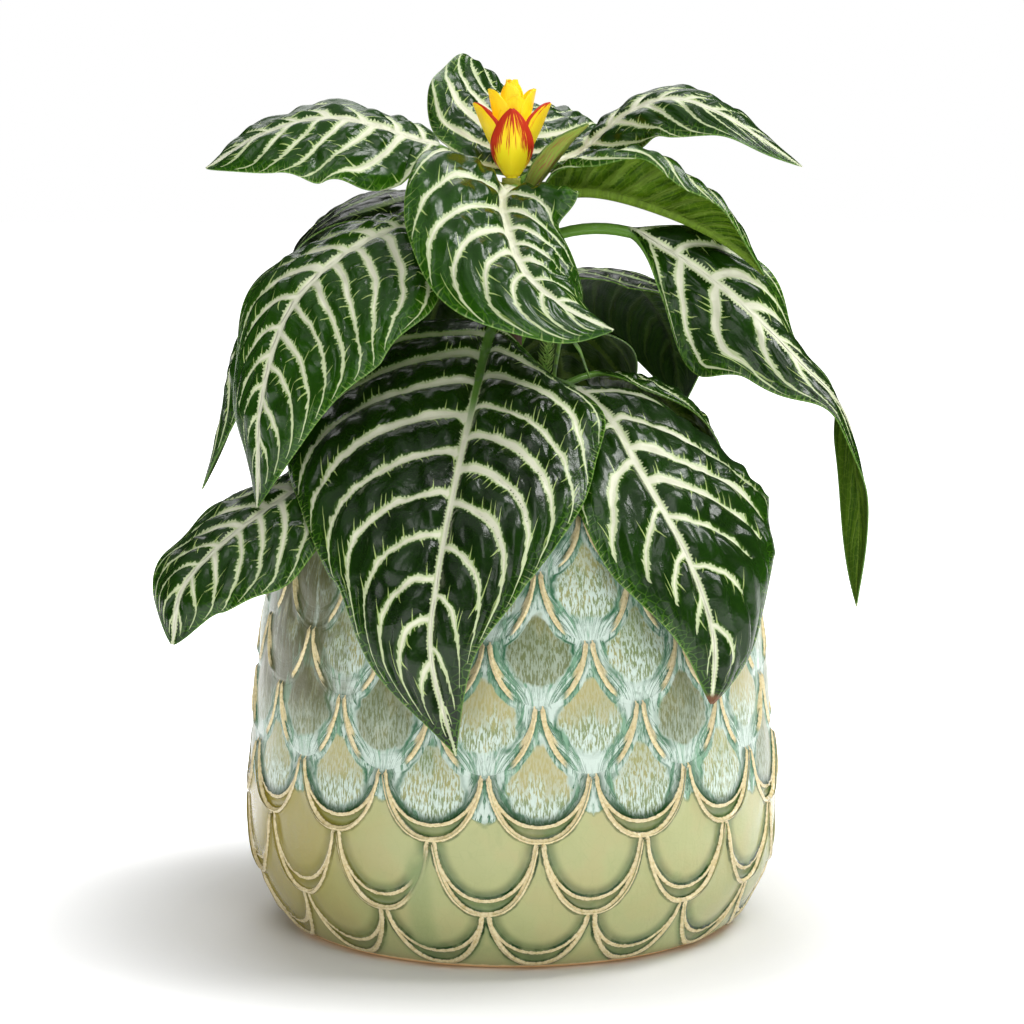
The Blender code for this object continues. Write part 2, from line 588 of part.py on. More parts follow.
def sprig():
    """A feathery weed: a flat outline of a stalk with curved needles on both sides."""
    foot = np.array((*SPRIG_FOOT, SOIL_TOP - WEED_DEPTH))
    lean = np.array(SPRIG_TOP) - foot
    rise = np.linalg.norm(lean)
    half = SPRIG_HALF_STALK
    right = [(half, 0.0)]
    for index in range(SPRIG_NEEDLES):
        y = rise - (SPRIG_NEEDLES - index) * SPRIG_PITCH
        reach = SPRIG_NEEDLE_LENGTH * (1 - NEEDLE_SHRINK * index / SPRIG_NEEDLES)
        right += [(half, y), (reach, y + reach * NEEDLE_RISE), (half, y + NEEDLE_FOOT)]
    left = [(-x, y) for x, y in right[::-1]]
    outline = bpy.data.curves.new("sprig_outline", "CURVE")
    outline.dimensions = "2D"
    outline.fill_mode = "BOTH"
    outline.extrude = SPRIG_THICKNESS / 2 * MM
    spots = right + [(0, rise)] + left
    spline = outline.splines.new("POLY")
    spline.points.add(len(spots) - 1)
    for point, (x, y) in zip(spline.points, spots):
        point.co = (x * MM, y * MM, 0, 1)
    spline.use_cyclic_u = True
    made = place("weed_sprig", outline, "weed_green")
    made.location = foot * MM
    made.rotation_euler = (math.pi / 2 - math.atan2(lean[1], lean[2]), 0, 0)
    made.rotation_euler.rotate_axis("Z", -math.atan2(lean[0], lean[2]))
    return made


def weed():
    """A weed seedling: one thin stalk that bends over into a narrow leaf."""
    slim, full = WEED_STALK_SIZE
    shape = dict(heading=80, node=SOIL_TOP - WEED_DEPTH, foot=WEED_FOOT,
                 stalk=WEED_STALK + WEED_DEPTH, width=WEED_HALF_WIDTH, path=WEED_PATH,
                 left=(0, -20), right=(0, -20), slim=slim, full=full, thin=WEED_THIN)
    return blade_object("weed_seedling", shape, "weed_green", *WEED_GRID)


def main():
    """Clears the scene and builds every piece."""
    for thing in list(bpy.data.objects):
        bpy.data.objects.remove(thing)
    for name in ("potted_zebra_plant", "cutters"):
        bpy.context.scene.collection.children.link(bpy.data.collections.new(name))
    pot()
    soil()
    stem()
    for name, leaf in LEAVES.items():
        blade_object(name, leaf, "green_bract" if name == "leafy_bract" else "zebra_leaf")
    flower_head()
    sprig()
    weed()


main()
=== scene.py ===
# A zebra plant in a scaled stoneware pot: the looks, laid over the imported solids.
# Lengths in the dictionaries are millimetres, angles are degrees, colours are linear.
import math

import bpy
import numpy as np
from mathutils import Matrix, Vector


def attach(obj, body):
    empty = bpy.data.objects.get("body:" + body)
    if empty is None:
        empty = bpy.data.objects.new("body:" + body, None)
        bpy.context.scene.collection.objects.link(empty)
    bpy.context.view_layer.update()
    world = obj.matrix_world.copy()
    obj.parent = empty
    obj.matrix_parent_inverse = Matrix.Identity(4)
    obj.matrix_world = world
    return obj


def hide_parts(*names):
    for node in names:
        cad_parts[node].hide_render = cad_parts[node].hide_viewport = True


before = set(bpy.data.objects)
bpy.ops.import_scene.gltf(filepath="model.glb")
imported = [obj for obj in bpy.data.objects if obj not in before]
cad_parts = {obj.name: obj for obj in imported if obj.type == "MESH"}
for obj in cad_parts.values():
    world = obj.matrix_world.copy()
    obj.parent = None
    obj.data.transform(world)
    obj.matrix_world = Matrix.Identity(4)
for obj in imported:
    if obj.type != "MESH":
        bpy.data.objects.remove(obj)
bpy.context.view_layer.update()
mm = 0.001

# Camera, floor and light

studio = dict(
    cameraAt=(0, -1250, 322), aimAt=(0, 0, 148), lens=122.9, sensor=36,
    floorSize=9000, floorColour=(0.88, 0.88, 0.88),
    # the floor turns white between these distances from the plant, by this much light
    floorFade=(0.092, 0.255), floorGlow=1.0,
    # the pale room: its brightness low down and overhead, what gloss mirrors of it, the bright
    # ceiling that gloss sees, and the white behind the plant
    room=(0.15, 0.40), mirrored=0.12, ceiling=(0.55, 0.9, 0.0, 0.5), backdrop=1.0,
    # where each soft light stands, how wide it is, and its watts
    lights=(((850, 60, 1400), 620, 15.5), ((150, -1400, 1250), 1050, 9.5),
            ((-200, 1200, 1300), 1000, 7)))


def setStudio():
    # camera, lights and a pale room whose brightness rises smoothly from low to high; the floor
    # glows white by how far it is from the middle
    camera = bpy.data.objects.new("camera", bpy.data.cameras.new("camera"))
    bpy.context.collection.objects.link(camera)
    camera.data.lens = studio["lens"]
    camera.data.sensor_width = studio["sensor"]
    camera.location = Vector(studio["cameraAt"]) * mm
    aim = Vector(studio["aimAt"]) * mm - camera.location
    camera.rotation_euler = aim.to_track_quat("-Z", "Y").to_euler()
    bpy.context.scene.camera = camera
    for index, (place, wide, watts) in enumerate(studio["lights"]):
        lamp = bpy.data.lights.new(f"softLight{index}", "AREA")
        lamp.size = wide * mm
        lamp.energy = watts
        light = bpy.data.objects.new(lamp.name, lamp)
        bpy.context.collection.objects.link(light)
        light.location = Vector(place) * mm
        light.rotation_euler = (Vector((0, 0, 0.15)) - light.location).to_track_quat(
            "-Z", "Y").to_euler()
    world = bpy.data.worlds.new("paleRoom")
    bpy.context.scene.world = world
    world.use_nodes = True
    tree = world.node_tree
    low, high = studio["room"]
    rise = parts(tree, tree.nodes.new("ShaderNodeTexCoord").outputs["Generated"])[2]
    ray = tree.nodes.new("ShaderNodeLightPath")
    seen = wire(tree, ray.outputs["Is Camera Ray"])
    gloss = wire(tree, ray.outputs["Is Glossy Ray"])
    room = rise.step(-0.1, 0.9, low, high) * (1.0 - gloss * (1.0 - studio["mirrored"]))
    room = room + gloss * rise.step(*studio["ceiling"])
    feed(tree, tree.nodes["Background"].inputs["Color"], (1, 1, 1, 1))
    feed(tree, tree.nodes["Background"].inputs["Strength"],
         room + (studio["backdrop"] - room) * seen)
    bpy.context.scene.view_settings.view_transform = "Standard"
    half = studio["floorSize"] * mm / 2
    mesh = bpy.data.meshes.new("floor")
    mesh.from_pydata([(-half, -half, 0), (half, -half, 0), (half, half, 0), (-half, half, 0)],
                     [], [(0, 1, 2, 3)])
    floor = bpy.data.objects.new("floor", mesh)
    bpy.context.collection.objects.link(floor)
    tree, shader = newMaterial("paleFloor")
    x, y, _ = parts(tree, objectPlace(tree))
    glow = ((x * x + y * y) ** 0.5).step(*studio["floorFade"]) * studio["floorGlow"]
    finished(tree, shader, (*studio["floorColour"], 1), 0.6, Emission_Color=(1, 1, 1, 1),
             Emission_Strength=glow)
    mesh.materials.append(bpy.data.materials["paleFloor"])


# Material helpers

def newMaterial(name):
    # a node material by name: its tree and its shader
    material = bpy.data.materials.new(name)
    material.use_nodes = True
    tree = material.node_tree
    return tree, tree.nodes["Principled BSDF"]


def feed(tree, socket, value):
    # links a wire or a socket, or sets a plain value
    if isinstance(value, wire):
        tree.links.new(value.socket, socket)
    elif isinstance(value, bpy.types.NodeSocket):
        tree.links.new(value, socket)
    else:
        socket.default_value = value


def mathNode(operation, swapped=False):
    # a method of a wire that adds one Math node; swapped puts the other value first
    def method(self, *others):
        values = (self, *others)
        node = self.tree.nodes.new("ShaderNodeMath")
        node.operation = operation
        for socket, value in zip(node.inputs, values[::-1] if swapped else values):
            feed(self.tree, socket, value)
        return wire(self.tree, node.outputs[0])
    return method


class wire:
    # one number inside a material: arithmetic on wires adds the Math nodes for it
    def __init__(self, tree, socket):
        self.tree, self.socket = tree, socket

    __add__, __radd__ = mathNode("ADD"), mathNode("ADD", True)
    __sub__, __rsub__ = mathNode("SUBTRACT"), mathNode("SUBTRACT", True)
    __mul__, __rmul__ = mathNode("MULTIPLY"), mathNode("MULTIPLY", True)
    __truediv__, __pow__ = mathNode("DIVIDE"), mathNode("POWER")
    __abs__, floor, round = mathNode("ABSOLUTE"), mathNode("FLOOR"), mathNode("ROUND")
    least, most, above = mathNode("MINIMUM"), mathNode("MAXIMUM"), mathNode("GREATER_THAN")

    def step(self, low, high, start=0.0, end=1.0):
        # rises smoothly from start to end as this goes from low to high
        node = self.tree.nodes.new("ShaderNodeMapRange")
        node.interpolation_type = "SMOOTHSTEP"
        for socket, value in zip(node.inputs, (self, low, high, start, end)):
            feed(self.tree, socket, value)
        return wire(self.tree, node.outputs[0])

    def fall(self, low, high, start=1.0):
        # sinks smoothly from start to nothing
        return self.step(low, high, start, 0.0)


def vector(tree, x, y=0.0, z=0.0):
    # one place out of three numbers
    node = tree.nodes.new("ShaderNodeCombineXYZ")
    for socket, value in zip(node.inputs, (x, y, z)):
        feed(tree, socket, value)
    return node.outputs[0]


def parts(tree, socket):
    # the three numbers of a place
    node = tree.nodes.new("ShaderNodeSeparateXYZ")
    tree.links.new(socket, node.inputs[0])
    return [wire(tree, out) for out in node.outputs]


def painted(tree, name):
    # the three numbers that a piece's own point attribute holds
    node = tree.nodes.new("ShaderNodeAttribute")
    node.attribute_name = name
    return parts(tree, node.outputs["Vector"])


def objectPlace(tree):
    # the place on the piece, in metres
    return tree.nodes.new("ShaderNodeTexCoord").outputs["Object"]


def noise(tree, place, scale, detail=2.0, rough=0.5, bend=0.0):
    # smooth cloudy numbers round one half
    node = tree.nodes.new("ShaderNodeTexNoise")
    for name, value in (("Vector", place), ("Scale", scale), ("Detail", detail),
                        ("Roughness", rough), ("Distortion", bend)):
        feed(tree, node.inputs[name], value)
    return wire(tree, node.outputs[0])


def cells(tree, place, scale, feature="F1"):
    # the distance to the middle, or to the edge, of the nearest of many scattered cells
    node = tree.nodes.new("ShaderNodeTexVoronoi")
    node.feature = feature
    feed(tree, node.inputs["Vector"], place)
    feed(tree, node.inputs["Scale"], scale)
    return wire(tree, node.outputs["Distance"])


def dice(tree, x, y, z=0.0):
    # a fixed random number from 0 to 1 for each whole x, y and z
    node = tree.nodes.new("ShaderNodeTexWhiteNoise")
    feed(tree, node.inputs["Vector"], vector(tree, x, y, z))
    return wire(tree, node.outputs["Value"])


def mixed(tree, factor, first, second):
    # first * (1 - factor) + second * factor
    node = tree.nodes.new("ShaderNodeMix")
    node.data_type = "RGBA"
    feed(tree, node.inputs[0], factor)
    for socket, value in ((node.inputs[6], first), (node.inputs[7], second)):
        feed(tree, socket, (*value, 1.0) if isinstance(value, tuple) else value)
    return node.outputs[2]


def finished(tree, shader, colour, rough, **levels):
    # the shader's colour and roughness, then other sockets by name, with _ for each blank
    feed(tree, shader.inputs["Base Color"], colour)
    feed(tree, shader.inputs["Roughness"], rough)
    for name, level in levels.items():
        feed(tree, shader.inputs[name.replace("_", " ")], level)


def bumped(tree, shader, height, depth):
    # height from 0 to 1 stands for depth millimetres
    node = tree.nodes.new("ShaderNodeBump")
    node.inputs["Distance"].default_value = depth * mm
    feed(tree, node.inputs["Height"], height)
    tree.links.new(node.outputs[0], shader.inputs["Normal"])


# Mesh helpers

def gridFaces(rows, columns, wrap=False):
    # quads between neighbouring rows and columns of a grid numbered row by row
    across = columns if wrap else columns - 1
    i, j = np.meshgrid(np.arange(rows - 1), np.arange(across), indexing="ij")
    k = (j + 1) % columns
    return np.stack([i * columns + j, i * columns + k,
                     (i + 1) * columns + k, (i + 1) * columns + j], -1).reshape(-1, 4)


def ringAt(turn, radius, height):
    # points at angles turn round the upright axis, 0 to the front
    return np.stack([radius * np.sin(turn), -radius * np.cos(turn), height + 0 * turn], -1)


def closedRings(rings, first, last, flipped=False):
    # the skin over a stack of rings, closed by a fan of triangles to a point at each end
    count, sides = rings.shape[:2]
    j = np.arange(sides)
    k = (j + 1) % sides
    end = (count - 1) * sides
    tiles = [gridFaces(count, sides, wrap=True),
             np.stack([np.full_like(j, count * sides), k, j], -1),
             np.stack([np.full_like(j, count * sides + 1), end + j, end + k], -1)]
    points = np.concatenate([rings.reshape(-1, 3), [first], [last]])
    return points, [face for part in tiles for face in part[:, ::-1 if flipped else 1].tolist()]


def madePiece(name, points, faces, materials, node, slot, kinds=None, paint=None):
    # points in millimetres and faces as rows of three or four numbers become one mesh that
    # rides on the root and stands for the node; kinds is each face's material
    mesh = bpy.data.meshes.new(name)
    mesh.from_pydata((np.asarray(points) * mm).tolist(), [], [tuple(f) for f in faces])
    for material in materials:
        mesh.materials.append(bpy.data.materials[material])
    if kinds is not None:
        mesh.polygons.foreach_set("material_index", np.asarray(kinds, np.int32))
    mesh.polygons.foreach_set("use_smooth", np.ones(len(mesh.polygons), bool))
    for label, values in (paint or {}).items():
        layer = mesh.attributes.new(label, "FLOAT_VECTOR", "POINT")
        layer.data.foreach_set("vector", np.asarray(values, np.float32).ravel())
    mesh.update()
    piece = bpy.data.objects.new(name, mesh)
    bpy.context.collection.objects.link(piece)
    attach(piece, "root")
    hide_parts(node)
    return piece


def hermite(values, tangents, knots, at):
    # cubic Hermite interpolation of rows of values between knots
    k = np.clip(np.searchsorted(knots, at, side="right") - 1, 0, len(knots) - 2)
    span = (knots[k + 1] - knots[k])[:, None]
    u = (at - knots[k])[:, None] / span
    return ((2 * u**3 - 3 * u**2 + 1) * values[k] + (u**3 - 2 * u**2 + u) * span * tangents[k]
            + (3 * u**2 - 2 * u**3) * values[k + 1] + (u**3 - u**2) * span * tangents[k + 1])


def smoothCurve(points, count=240):
    # one smooth curve through the points, with knots by the square root of each step
    points = np.asarray(points, float)
    steps = np.linalg.norm(np.diff(points, axis=0), axis=1) ** 0.5
    knots = np.concatenate([[0.0], np.cumsum(steps)])
    return hermite(points, np.gradient(points, knots, axis=0), knots,
                   np.linspace(0, knots[-1], count))


def along(values, t):
    # one value, or values at even stations from base to tip, smoothly read at t
    values = np.atleast_1d(np.asarray(values, float))
    if len(values) == 1:
        return np.full_like(t, values[0])
    stations = np.linspace(0, 1, len(values))
    return hermite(values[:, None], np.gradient(values, stations)[:, None], stations, t)[:, 0]


def unit(vectors):
    # each vector over its own length
    return vectors / np.maximum(np.linalg.norm(vectors, axis=-1, keepdims=True), 1e-12)


def normalsOf(sheet):
    # the cross product of the steps down and across a grid of points
    return unit(np.cross(np.gradient(sheet, axis=0), np.gradient(sheet, axis=1)))


def mirrored(x):
    # columns from -1 to 1 out of those from 0 to 1
    return np.concatenate([-x[:0:-1], x])


def turnsOf(count):
    # even angles once round
    return np.linspace(0, 2 * math.pi, count, endpoint=False)


# The leaves

# Each leaf: its heading round the stem (0 to the front, 90 to the right), its node's height, the
# midrib's points (out, up, sideways), stalk, half width, outline, roll, each half's fold and
# curl, how wide each half is along it, and its margin waves. Then its looks: how many side
# veins, their slant and boldness, the blade's tone (below zero its veins and pale net are dimmed
# as painted shade, for a leaf that stands in shade), how far the rib stays green, whether veins
# go far out (above zero) or stay short at the tip (below), a dry tip, and how quilted it is.
leaves = {
    "leaf_top_left": dict(
        heading=-84, node=264, stalk=28, width=31, shape=(0.5, 0.85),
        path=((20, 276), (36, 283), (65, 290), (90, 284), (109, 272)),
        roll=(-20, -12, -10), left=(0, -20), right=(-22, -22), wave=(1.5, 3),
        veins=8.5, slant=0.2, tone=0.62, far=0.6, bold=0.84),
    "leaf_top_back": dict(
        heading=178, node=266, stalk=5, width=34, shape=(0.45, 0.75),
        path=((14, 274), (34, 286), (60, 292), (82, 287)),
        left=(0, -20), right=((20, 22, 38, 50, 45), -10), wave=(1.5, 3),
        slant=0.18, tone=0.45, far=0.8),
    "leaf_crown_front": dict(
        heading=22, node=265, stalk=3, width=38, shape=(0.38, 0.85),
        path=((15, 262, -10), (33, 252, -15), (56, 238, -17), (70, 228, -9), (80, 220, 5)),
        roll=(-10, 0, -10), left=((48, 15, 0), -55), right=((40, 4, -5), (-15, -60, -50)),
        wide=(1, (1.2, 0.55, 0.88, 1, 0.9)), wave=(1.5, 3),
        veins=9.7, slant=0.1, tone=0.62, bold=0.82),
    "leaf_left_front": dict(
        heading=-60, node=235, stalk=34, width=36, shape=(0.48, 0.95),
        path=((25, 250), (44, 252), (66, 244), (88, 226), (101, 195, 2), (105, 157, 6)),
        roll=(-10, -12, 0), left=(0, -20), right=(-5, -30), wide=(0.9, 1.25), wave=(1.5, 3),
        veins=13, slant=0.08, tone=0.6, bold=0.88),
    "leaf_left_hanging": dict(
        heading=-97, node=222, stalk=36, width=24,
        path=((40, 236), (77, 228), (99, 209), (107, 180), (114, 154)),
        roll=(-30, -20, 0), left=(-8, -30), right=(-8, -30), tone=0.5),
    "leaf_left_back": dict(
        heading=-125, node=242, stalk=30, width=30,
        path=((30, 258), (60, 262), (88, 246), (104, 215)),
        left=(-8, -30), right=(-8, -30), tone=-0.3, quilt=0.08),
    "leaf_low_left": dict(
        heading=-58, node=175, stalk=64, width=32, shape=(0.5, 0.8),
        path=((50, 177), (88, 163), (123, 142), (134, 130), (137, 112)),
        roll=(0, -10, -20), left=(0, -15), right=(-8, -22), wide=(0.85, (0.5, 0.9, 1, 1, 1)),
        wave=(1.5, 3), tone=0.4),
    "leaf_front_large": dict(
        heading=-13, node=224, stalk=13, width=56, shape=(0.4, 1.15), lean=0,
        path=((18, 215, -3), (50, 194, -2), (80, 170, -1), (102, 140, -2), (108, 115, -3),
              (108, 80, 6)),
        left=(2, -25), right=(7, -28), wave=(2, 4),
        wide=(1.22, (0.1, 0.45, 0.82, 0.86, 0.95, 0.9, 0.84, 0.84, 0.84)),
        veins=12, slant=0.04, tone=0.15, green=52),
    "leaf_low_right": dict(
        heading=33, node=198, stalk=32, width=41, shape=(0.5, 0.9), lean=0.1,
        path=((28, 197, 3), (50, 189, 6), (78, 171, 2), (101, 143, 6), (109, 116, 11),
              (110, 94, 9)),
        left=((-12, -6, -4), -20), right=(-2, -24),
        wide=((0.6, 0.56, 0.72, 0.76, 0.68, 0.64), (1.3, 1.45, 1.42, 1.3, 1.2)),
        wave=(2, 3), veins=8.2, tone=0.33, dry=1, bold=0.85, far=-1),
    "leaf_low_right_back": dict(
        heading=126, node=186, stalk=36, width=27,
        path=((40, 196), (68, 188), (88, 163), (94, 135)), tone=0.2),
    "leaf_right_curtain": dict(
        heading=78, node=240, stalk=42, width=34, shape=(0.75, 1.1),
        path=((19, 249), (44, 249), (78, 229), (104, 205), (120, 188), (126, 163), (125, 117)),
        roll=(20, 20, -10, -90, -110), left=((-70, -70, -60, -80, -85), 15),
        right=((35, 25, 10, 10, 10), -14),
        wide=((0.7, 0.95, 0.98, 0.55, 0.38, 0.38, 0.42, 0.47, 0.5), (1.2, 0.6, 0.3, 0.4, 0.7)),
        lean=(0.4, 0.3, 0.1, 0, 0), wave=(2, 4), veins=11, tone=0.3, slim=2.2, full=4.0),
    "leaf_top_right": dict(
        heading=75, node=267, stalk=14, width=25,
        path=((21, 277, 9), (40, 292, 11), (56, 297, 8), (75, 292, 3), (105, 273)),
        roll=(40, 25, 25), left=(-15, -20), right=(-15, -20),
        wide=((0.55, 0.68, 0.75, 0.55, 0.5), 1), wave=(1.5, 3), slant=0.2, tone=0.45, far=0.8),
    "leaf_crown_right": dict(
        heading=72, node=258, stalk=8, width=36, shape=(0.5, 0.9), lean=0,
        path=((26, 264), (57, 257), (82, 245), (93, 235)),
        left=((95, 100, 95, 60), (-170, -170, -150, -90)), bend=dict(left=2), right=(20, -35),
        wide=((0.3, 0.68, 0.8, 0.75, 0.7), 0.9), wave=(2, 3), veins=13, slant=0.26, tone=0.5,
        bold=1.4, far=1),
    "leaf_back_right": dict(
        heading=140, node=217, stalk=30, width=34,
        path=((38, 233), (70, 229), (93, 208), (102, 178)), tone=-0.3, quilt=0.04),
    "leaf_back_left": dict(
        heading=-160, node=215, stalk=30, width=32,
        path=((40, 232), (75, 226), (96, 200), (103, 165)), tone=0.1),
    "leaf_back_middle": dict(
        heading=168, node=205, stalk=32, width=34,
        path=((40, 216), (75, 208), (98, 180), (106, 145)), tone=0.08),
    "leaf_low_back_left": dict(
        heading=-138, node=182, stalk=36, width=33,
        path=((45, 190), (82, 178), (104, 150), (110, 118)), tone=0.1),
    "leaf_low_back": dict(
        heading=-172, node=172, stalk=36, width=36,
        path=((50, 178), (88, 162), (107, 132), (112, 98)), tone=0.12),
}
bractLeaf = dict(
    heading=52, node=261, stalk=3, width=7, shape=(0.6, 0.8), slim=1.0, full=1.2, sheet=0.7,
    path=((9, 265.5), (15, 272.5), (24, 281.5), (34, 288)), left=(20, -20), right=(20, -20),
    veins=5, tone=0.5, quilt=0.3)
stemSize = dict(soilTop=143.0, foot=3.9, top=3.2, height=268.2, buried=30.0, sides=40, rows=180)
leafBuild = dict(
    # grid: rows, columns of a half and rows of the stalk, and what share of them the back has
    rows=150, halfColumns=38, stalkRows=10, backDetail=0.62,
    # form: stalk, sheet and tip, and what a leaf has unless its own row says otherwise
    stalkHalf=1.6, stalkThick=2.4, sheet=0.45, tipCut=0.996, tipHalf=0.15, foldStart=0.1,
    waveShift=1.3, lean=(0.0, 0.12, 0.0), half=(-4, -24), shape=(0.62, 1.0), tone=0.3,
    # relief: side veins, quilting between them, crinkles, and the midrib's groove and rib
    veins=10, slant=0.12, quilt=0.2, crinkle=0.8, groove=0.9, grooveHalf=2.4, ribHeight=1.7,
    ribWidth=1.5)


def stemRadius(height):
    # falls evenly from the foot's radius to the top's
    part = (height - stemSize["soilTop"]) / (stemSize["height"] - stemSize["soilTop"])
    return stemSize["foot"] + (stemSize["top"] - stemSize["foot"]) * part


def midribOf(leaf):
    # a smooth curve from just off the stem through the path's points, and the sideways axis
    heading = math.radians(leaf["heading"])
    out = np.array((math.sin(heading), -math.cos(heading), 0.0))
    side = np.array((math.cos(heading), math.sin(heading), 0.0))
    path = [tuple(point) + (0,) * (3 - len(point)) for point in leaf["path"]]
    if "foot" in leaf:
        path.insert(0, (0.0, leaf["node"], 0.0))
    else:
        path.insert(0, (stemRadius(leaf["node"]) - 0.5, leaf["node"], 0.0))
    path = np.array(path, float)
    line = path[:, :1] * out + path[:, 1:2] * np.array((0, 0, 1.0)) + path[:, 2:] * side
    return smoothCurve(line + np.array((*leaf.get("foot", (0, 0)), 0.0))), side


def halfSection(leaf, key, t, across, width):
    # sums the cosine and sine of fold + curl * reach^bend from the midrib outwards
    fold, curl = leaf.get(key, leafBuild["half"])
    ramp = np.clip(t / leafBuild["foldStart"], 0, 1)
    fold = np.radians(along(fold, t) * ramp)[:, None, None]
    curl = np.radians(along(curl, t) * ramp)[:, None, None]
    spots, weights = np.polynomial.legendre.leggauss(8)
    part = across[..., None] * (spots + 1) / 2
    slope = fold + curl * part ** leaf.get("bend", {}).get(key, 1)
    sideways = (np.cos(slope) * weights).sum(-1) / 2 * across * width
    upward = (np.sin(slope) * weights).sum(-1) / 2 * across * width
    return sideways, upward


def bladeSheet(leaf, rows, columns, stalkRows):
    # the sheet through the middle of a blade: rows from the stalk's foot to the tip, columns
    # across from -1 to 1. The half width is (t/p)^rise * ((1-t)/(1-p))^fall, each half bends
    # as halfSection says, and the margins wave by sin(2 pi n t)
    line, side = midribOf(leaf)
    run = np.concatenate([[0.0], np.cumsum(np.linalg.norm(np.diff(line, axis=0), axis=1))])
    start = leaf["stalk"] / run[-1]
    s = np.concatenate([np.linspace(0, start, stalkRows + 1)[:-1],
                        np.linspace(start, start + (1 - start) * leafBuild["tipCut"], rows + 1)])
    t = np.clip((s - start) / (1 - start), 0, 1)
    slopes = np.gradient(line, run, axis=0)
    middle = np.stack([np.interp(s * run[-1], run, line[:, i]) for i in range(3)], -1)
    ahead = unit(np.stack([np.interp(s * run[-1], run, slopes[:, i]) for i in range(3)], -1))
    across = unit(side - (ahead @ side)[:, None] * ahead)
    upper = np.cross(ahead, across)
    roll = np.radians(along(leaf.get("roll", 0), t))[:, None]
    across, upper = (np.cos(roll) * across + np.sin(roll) * upper,
                     np.cos(roll) * upper - np.sin(roll) * across)
    rise, fall = leaf.get("shape", leafBuild["shape"])
    peak = rise / (rise + fall)
    width = leaf["width"] * (t / peak) ** rise * ((1 - t) / (1 - peak)) ** fall
    slim = leaf.get("slim", leafBuild["stalkHalf"])
    height, count = leaf.get("wave", (0, 3))
    reach = np.abs(columns)[None, :]
    points = np.zeros((len(s), len(columns), 3))
    spreads = np.zeros((len(s), len(columns)))
    for key, sign in (("left", -1), ("right", 1)):
        factor = leaf.get("wide", (1, 1))[sign > 0]
        spread = np.maximum(width * along(factor, t), slim * (1 - t) ** 4)
        spread = np.maximum(spread, leafBuild["tipHalf"])[:, None]
        sideways, upward = halfSection(leaf, key, t, reach, spread)
        turn = 2 * math.pi * count * t[:, None] + (leafBuild["waveShift"] if sign > 0 else 0.0)
        upward = upward + height * width[:, None] / leaf["width"] * reach**2 * np.sin(turn)
        lean = along(leaf.get("lean", leafBuild["lean"]), t)[:, None] * reach**1.5 * spread
        half = (middle[:, None] + sign * sideways[..., None] * across[:, None]
                + upward[..., None] * upper[:, None] + lean[..., None] * ahead[:, None])
        mine = columns * sign >= 0
        points[:, mine] = half[:, mine]
        spreads[:, mine] = (spread * np.ones_like(reach))[:, mine]
    return points, t, spreads, (s * run[-1] - leaf["stalk"])


def veinPhase(count, slant, t, reach, shift):
    # whole numbers are the side veins: each leaves the midrib at a slant, arches towards the
    # tip and runs along the margin. The veins stand closer together towards the leaf's foot
    arch = (1 - 3.2 * slant) * np.minimum(0.62 * t, 0.14 + 0.17 * t) * reach**2.1
    ahead = np.clip(t / 0.5, 0, 1) * slant * reach + 0.05 * np.clip(t / 0.3, 0, 1) * reach**9
    base = np.clip(t - arch - ahead, 0, 1)
    base = 0.5 * base**0.7 + 0.5 * (1 - (1 - base) ** 0.85)
    return count * base + shift + 0.16 * np.sin(9 * base + 5 * shift)


def slopeOf(values, points):
    # the size of the gradient of values over the surface, from its first fundamental form
    pu, pv = np.gradient(points, axis=0), np.gradient(points, axis=1)
    qu, qv = np.gradient(values, axis=0), np.gradient(values, axis=1)
    e, f, g = (pu * pu).sum(-1), (pu * pv).sum(-1), (pv * pv).sum(-1)
    area = np.maximum(e * g - f * f, 1e-6)
    return np.sqrt(np.maximum((g * qu**2 - 2 * f * qu * qv + e * qv**2) / area, 1e-9))


def shellOf(top, under):
    # closes a top and an underside grid into one skin: the rows wrap round both margins, and
    # strips close the first and the last row
    rows, columns = top.shape[:2]
    points = np.concatenate([top, under[:, ::-1]], axis=1).reshape(-1, 3)
    faces = gridFaces(rows, 2 * columns, wrap=True)
    column = np.tile(np.arange(2 * columns), rows - 1)
    kinds = (column >= columns) & (column < 2 * columns - 1)
    j = np.arange(columns - 1)
    ends = []
    for row, turn in ((0, 1), (rows - 1, -1)):
        first = row * 2 * columns
        strip = np.stack([first + j + 1, first + j, first + 2 * columns - 1 - j,
                          first + 2 * columns - 2 - j], -1)
        ends.append(strip[:, ::turn])
    return points, np.concatenate([faces, *ends]), np.concatenate(
        [kinds, np.zeros(2 * len(j), bool)])


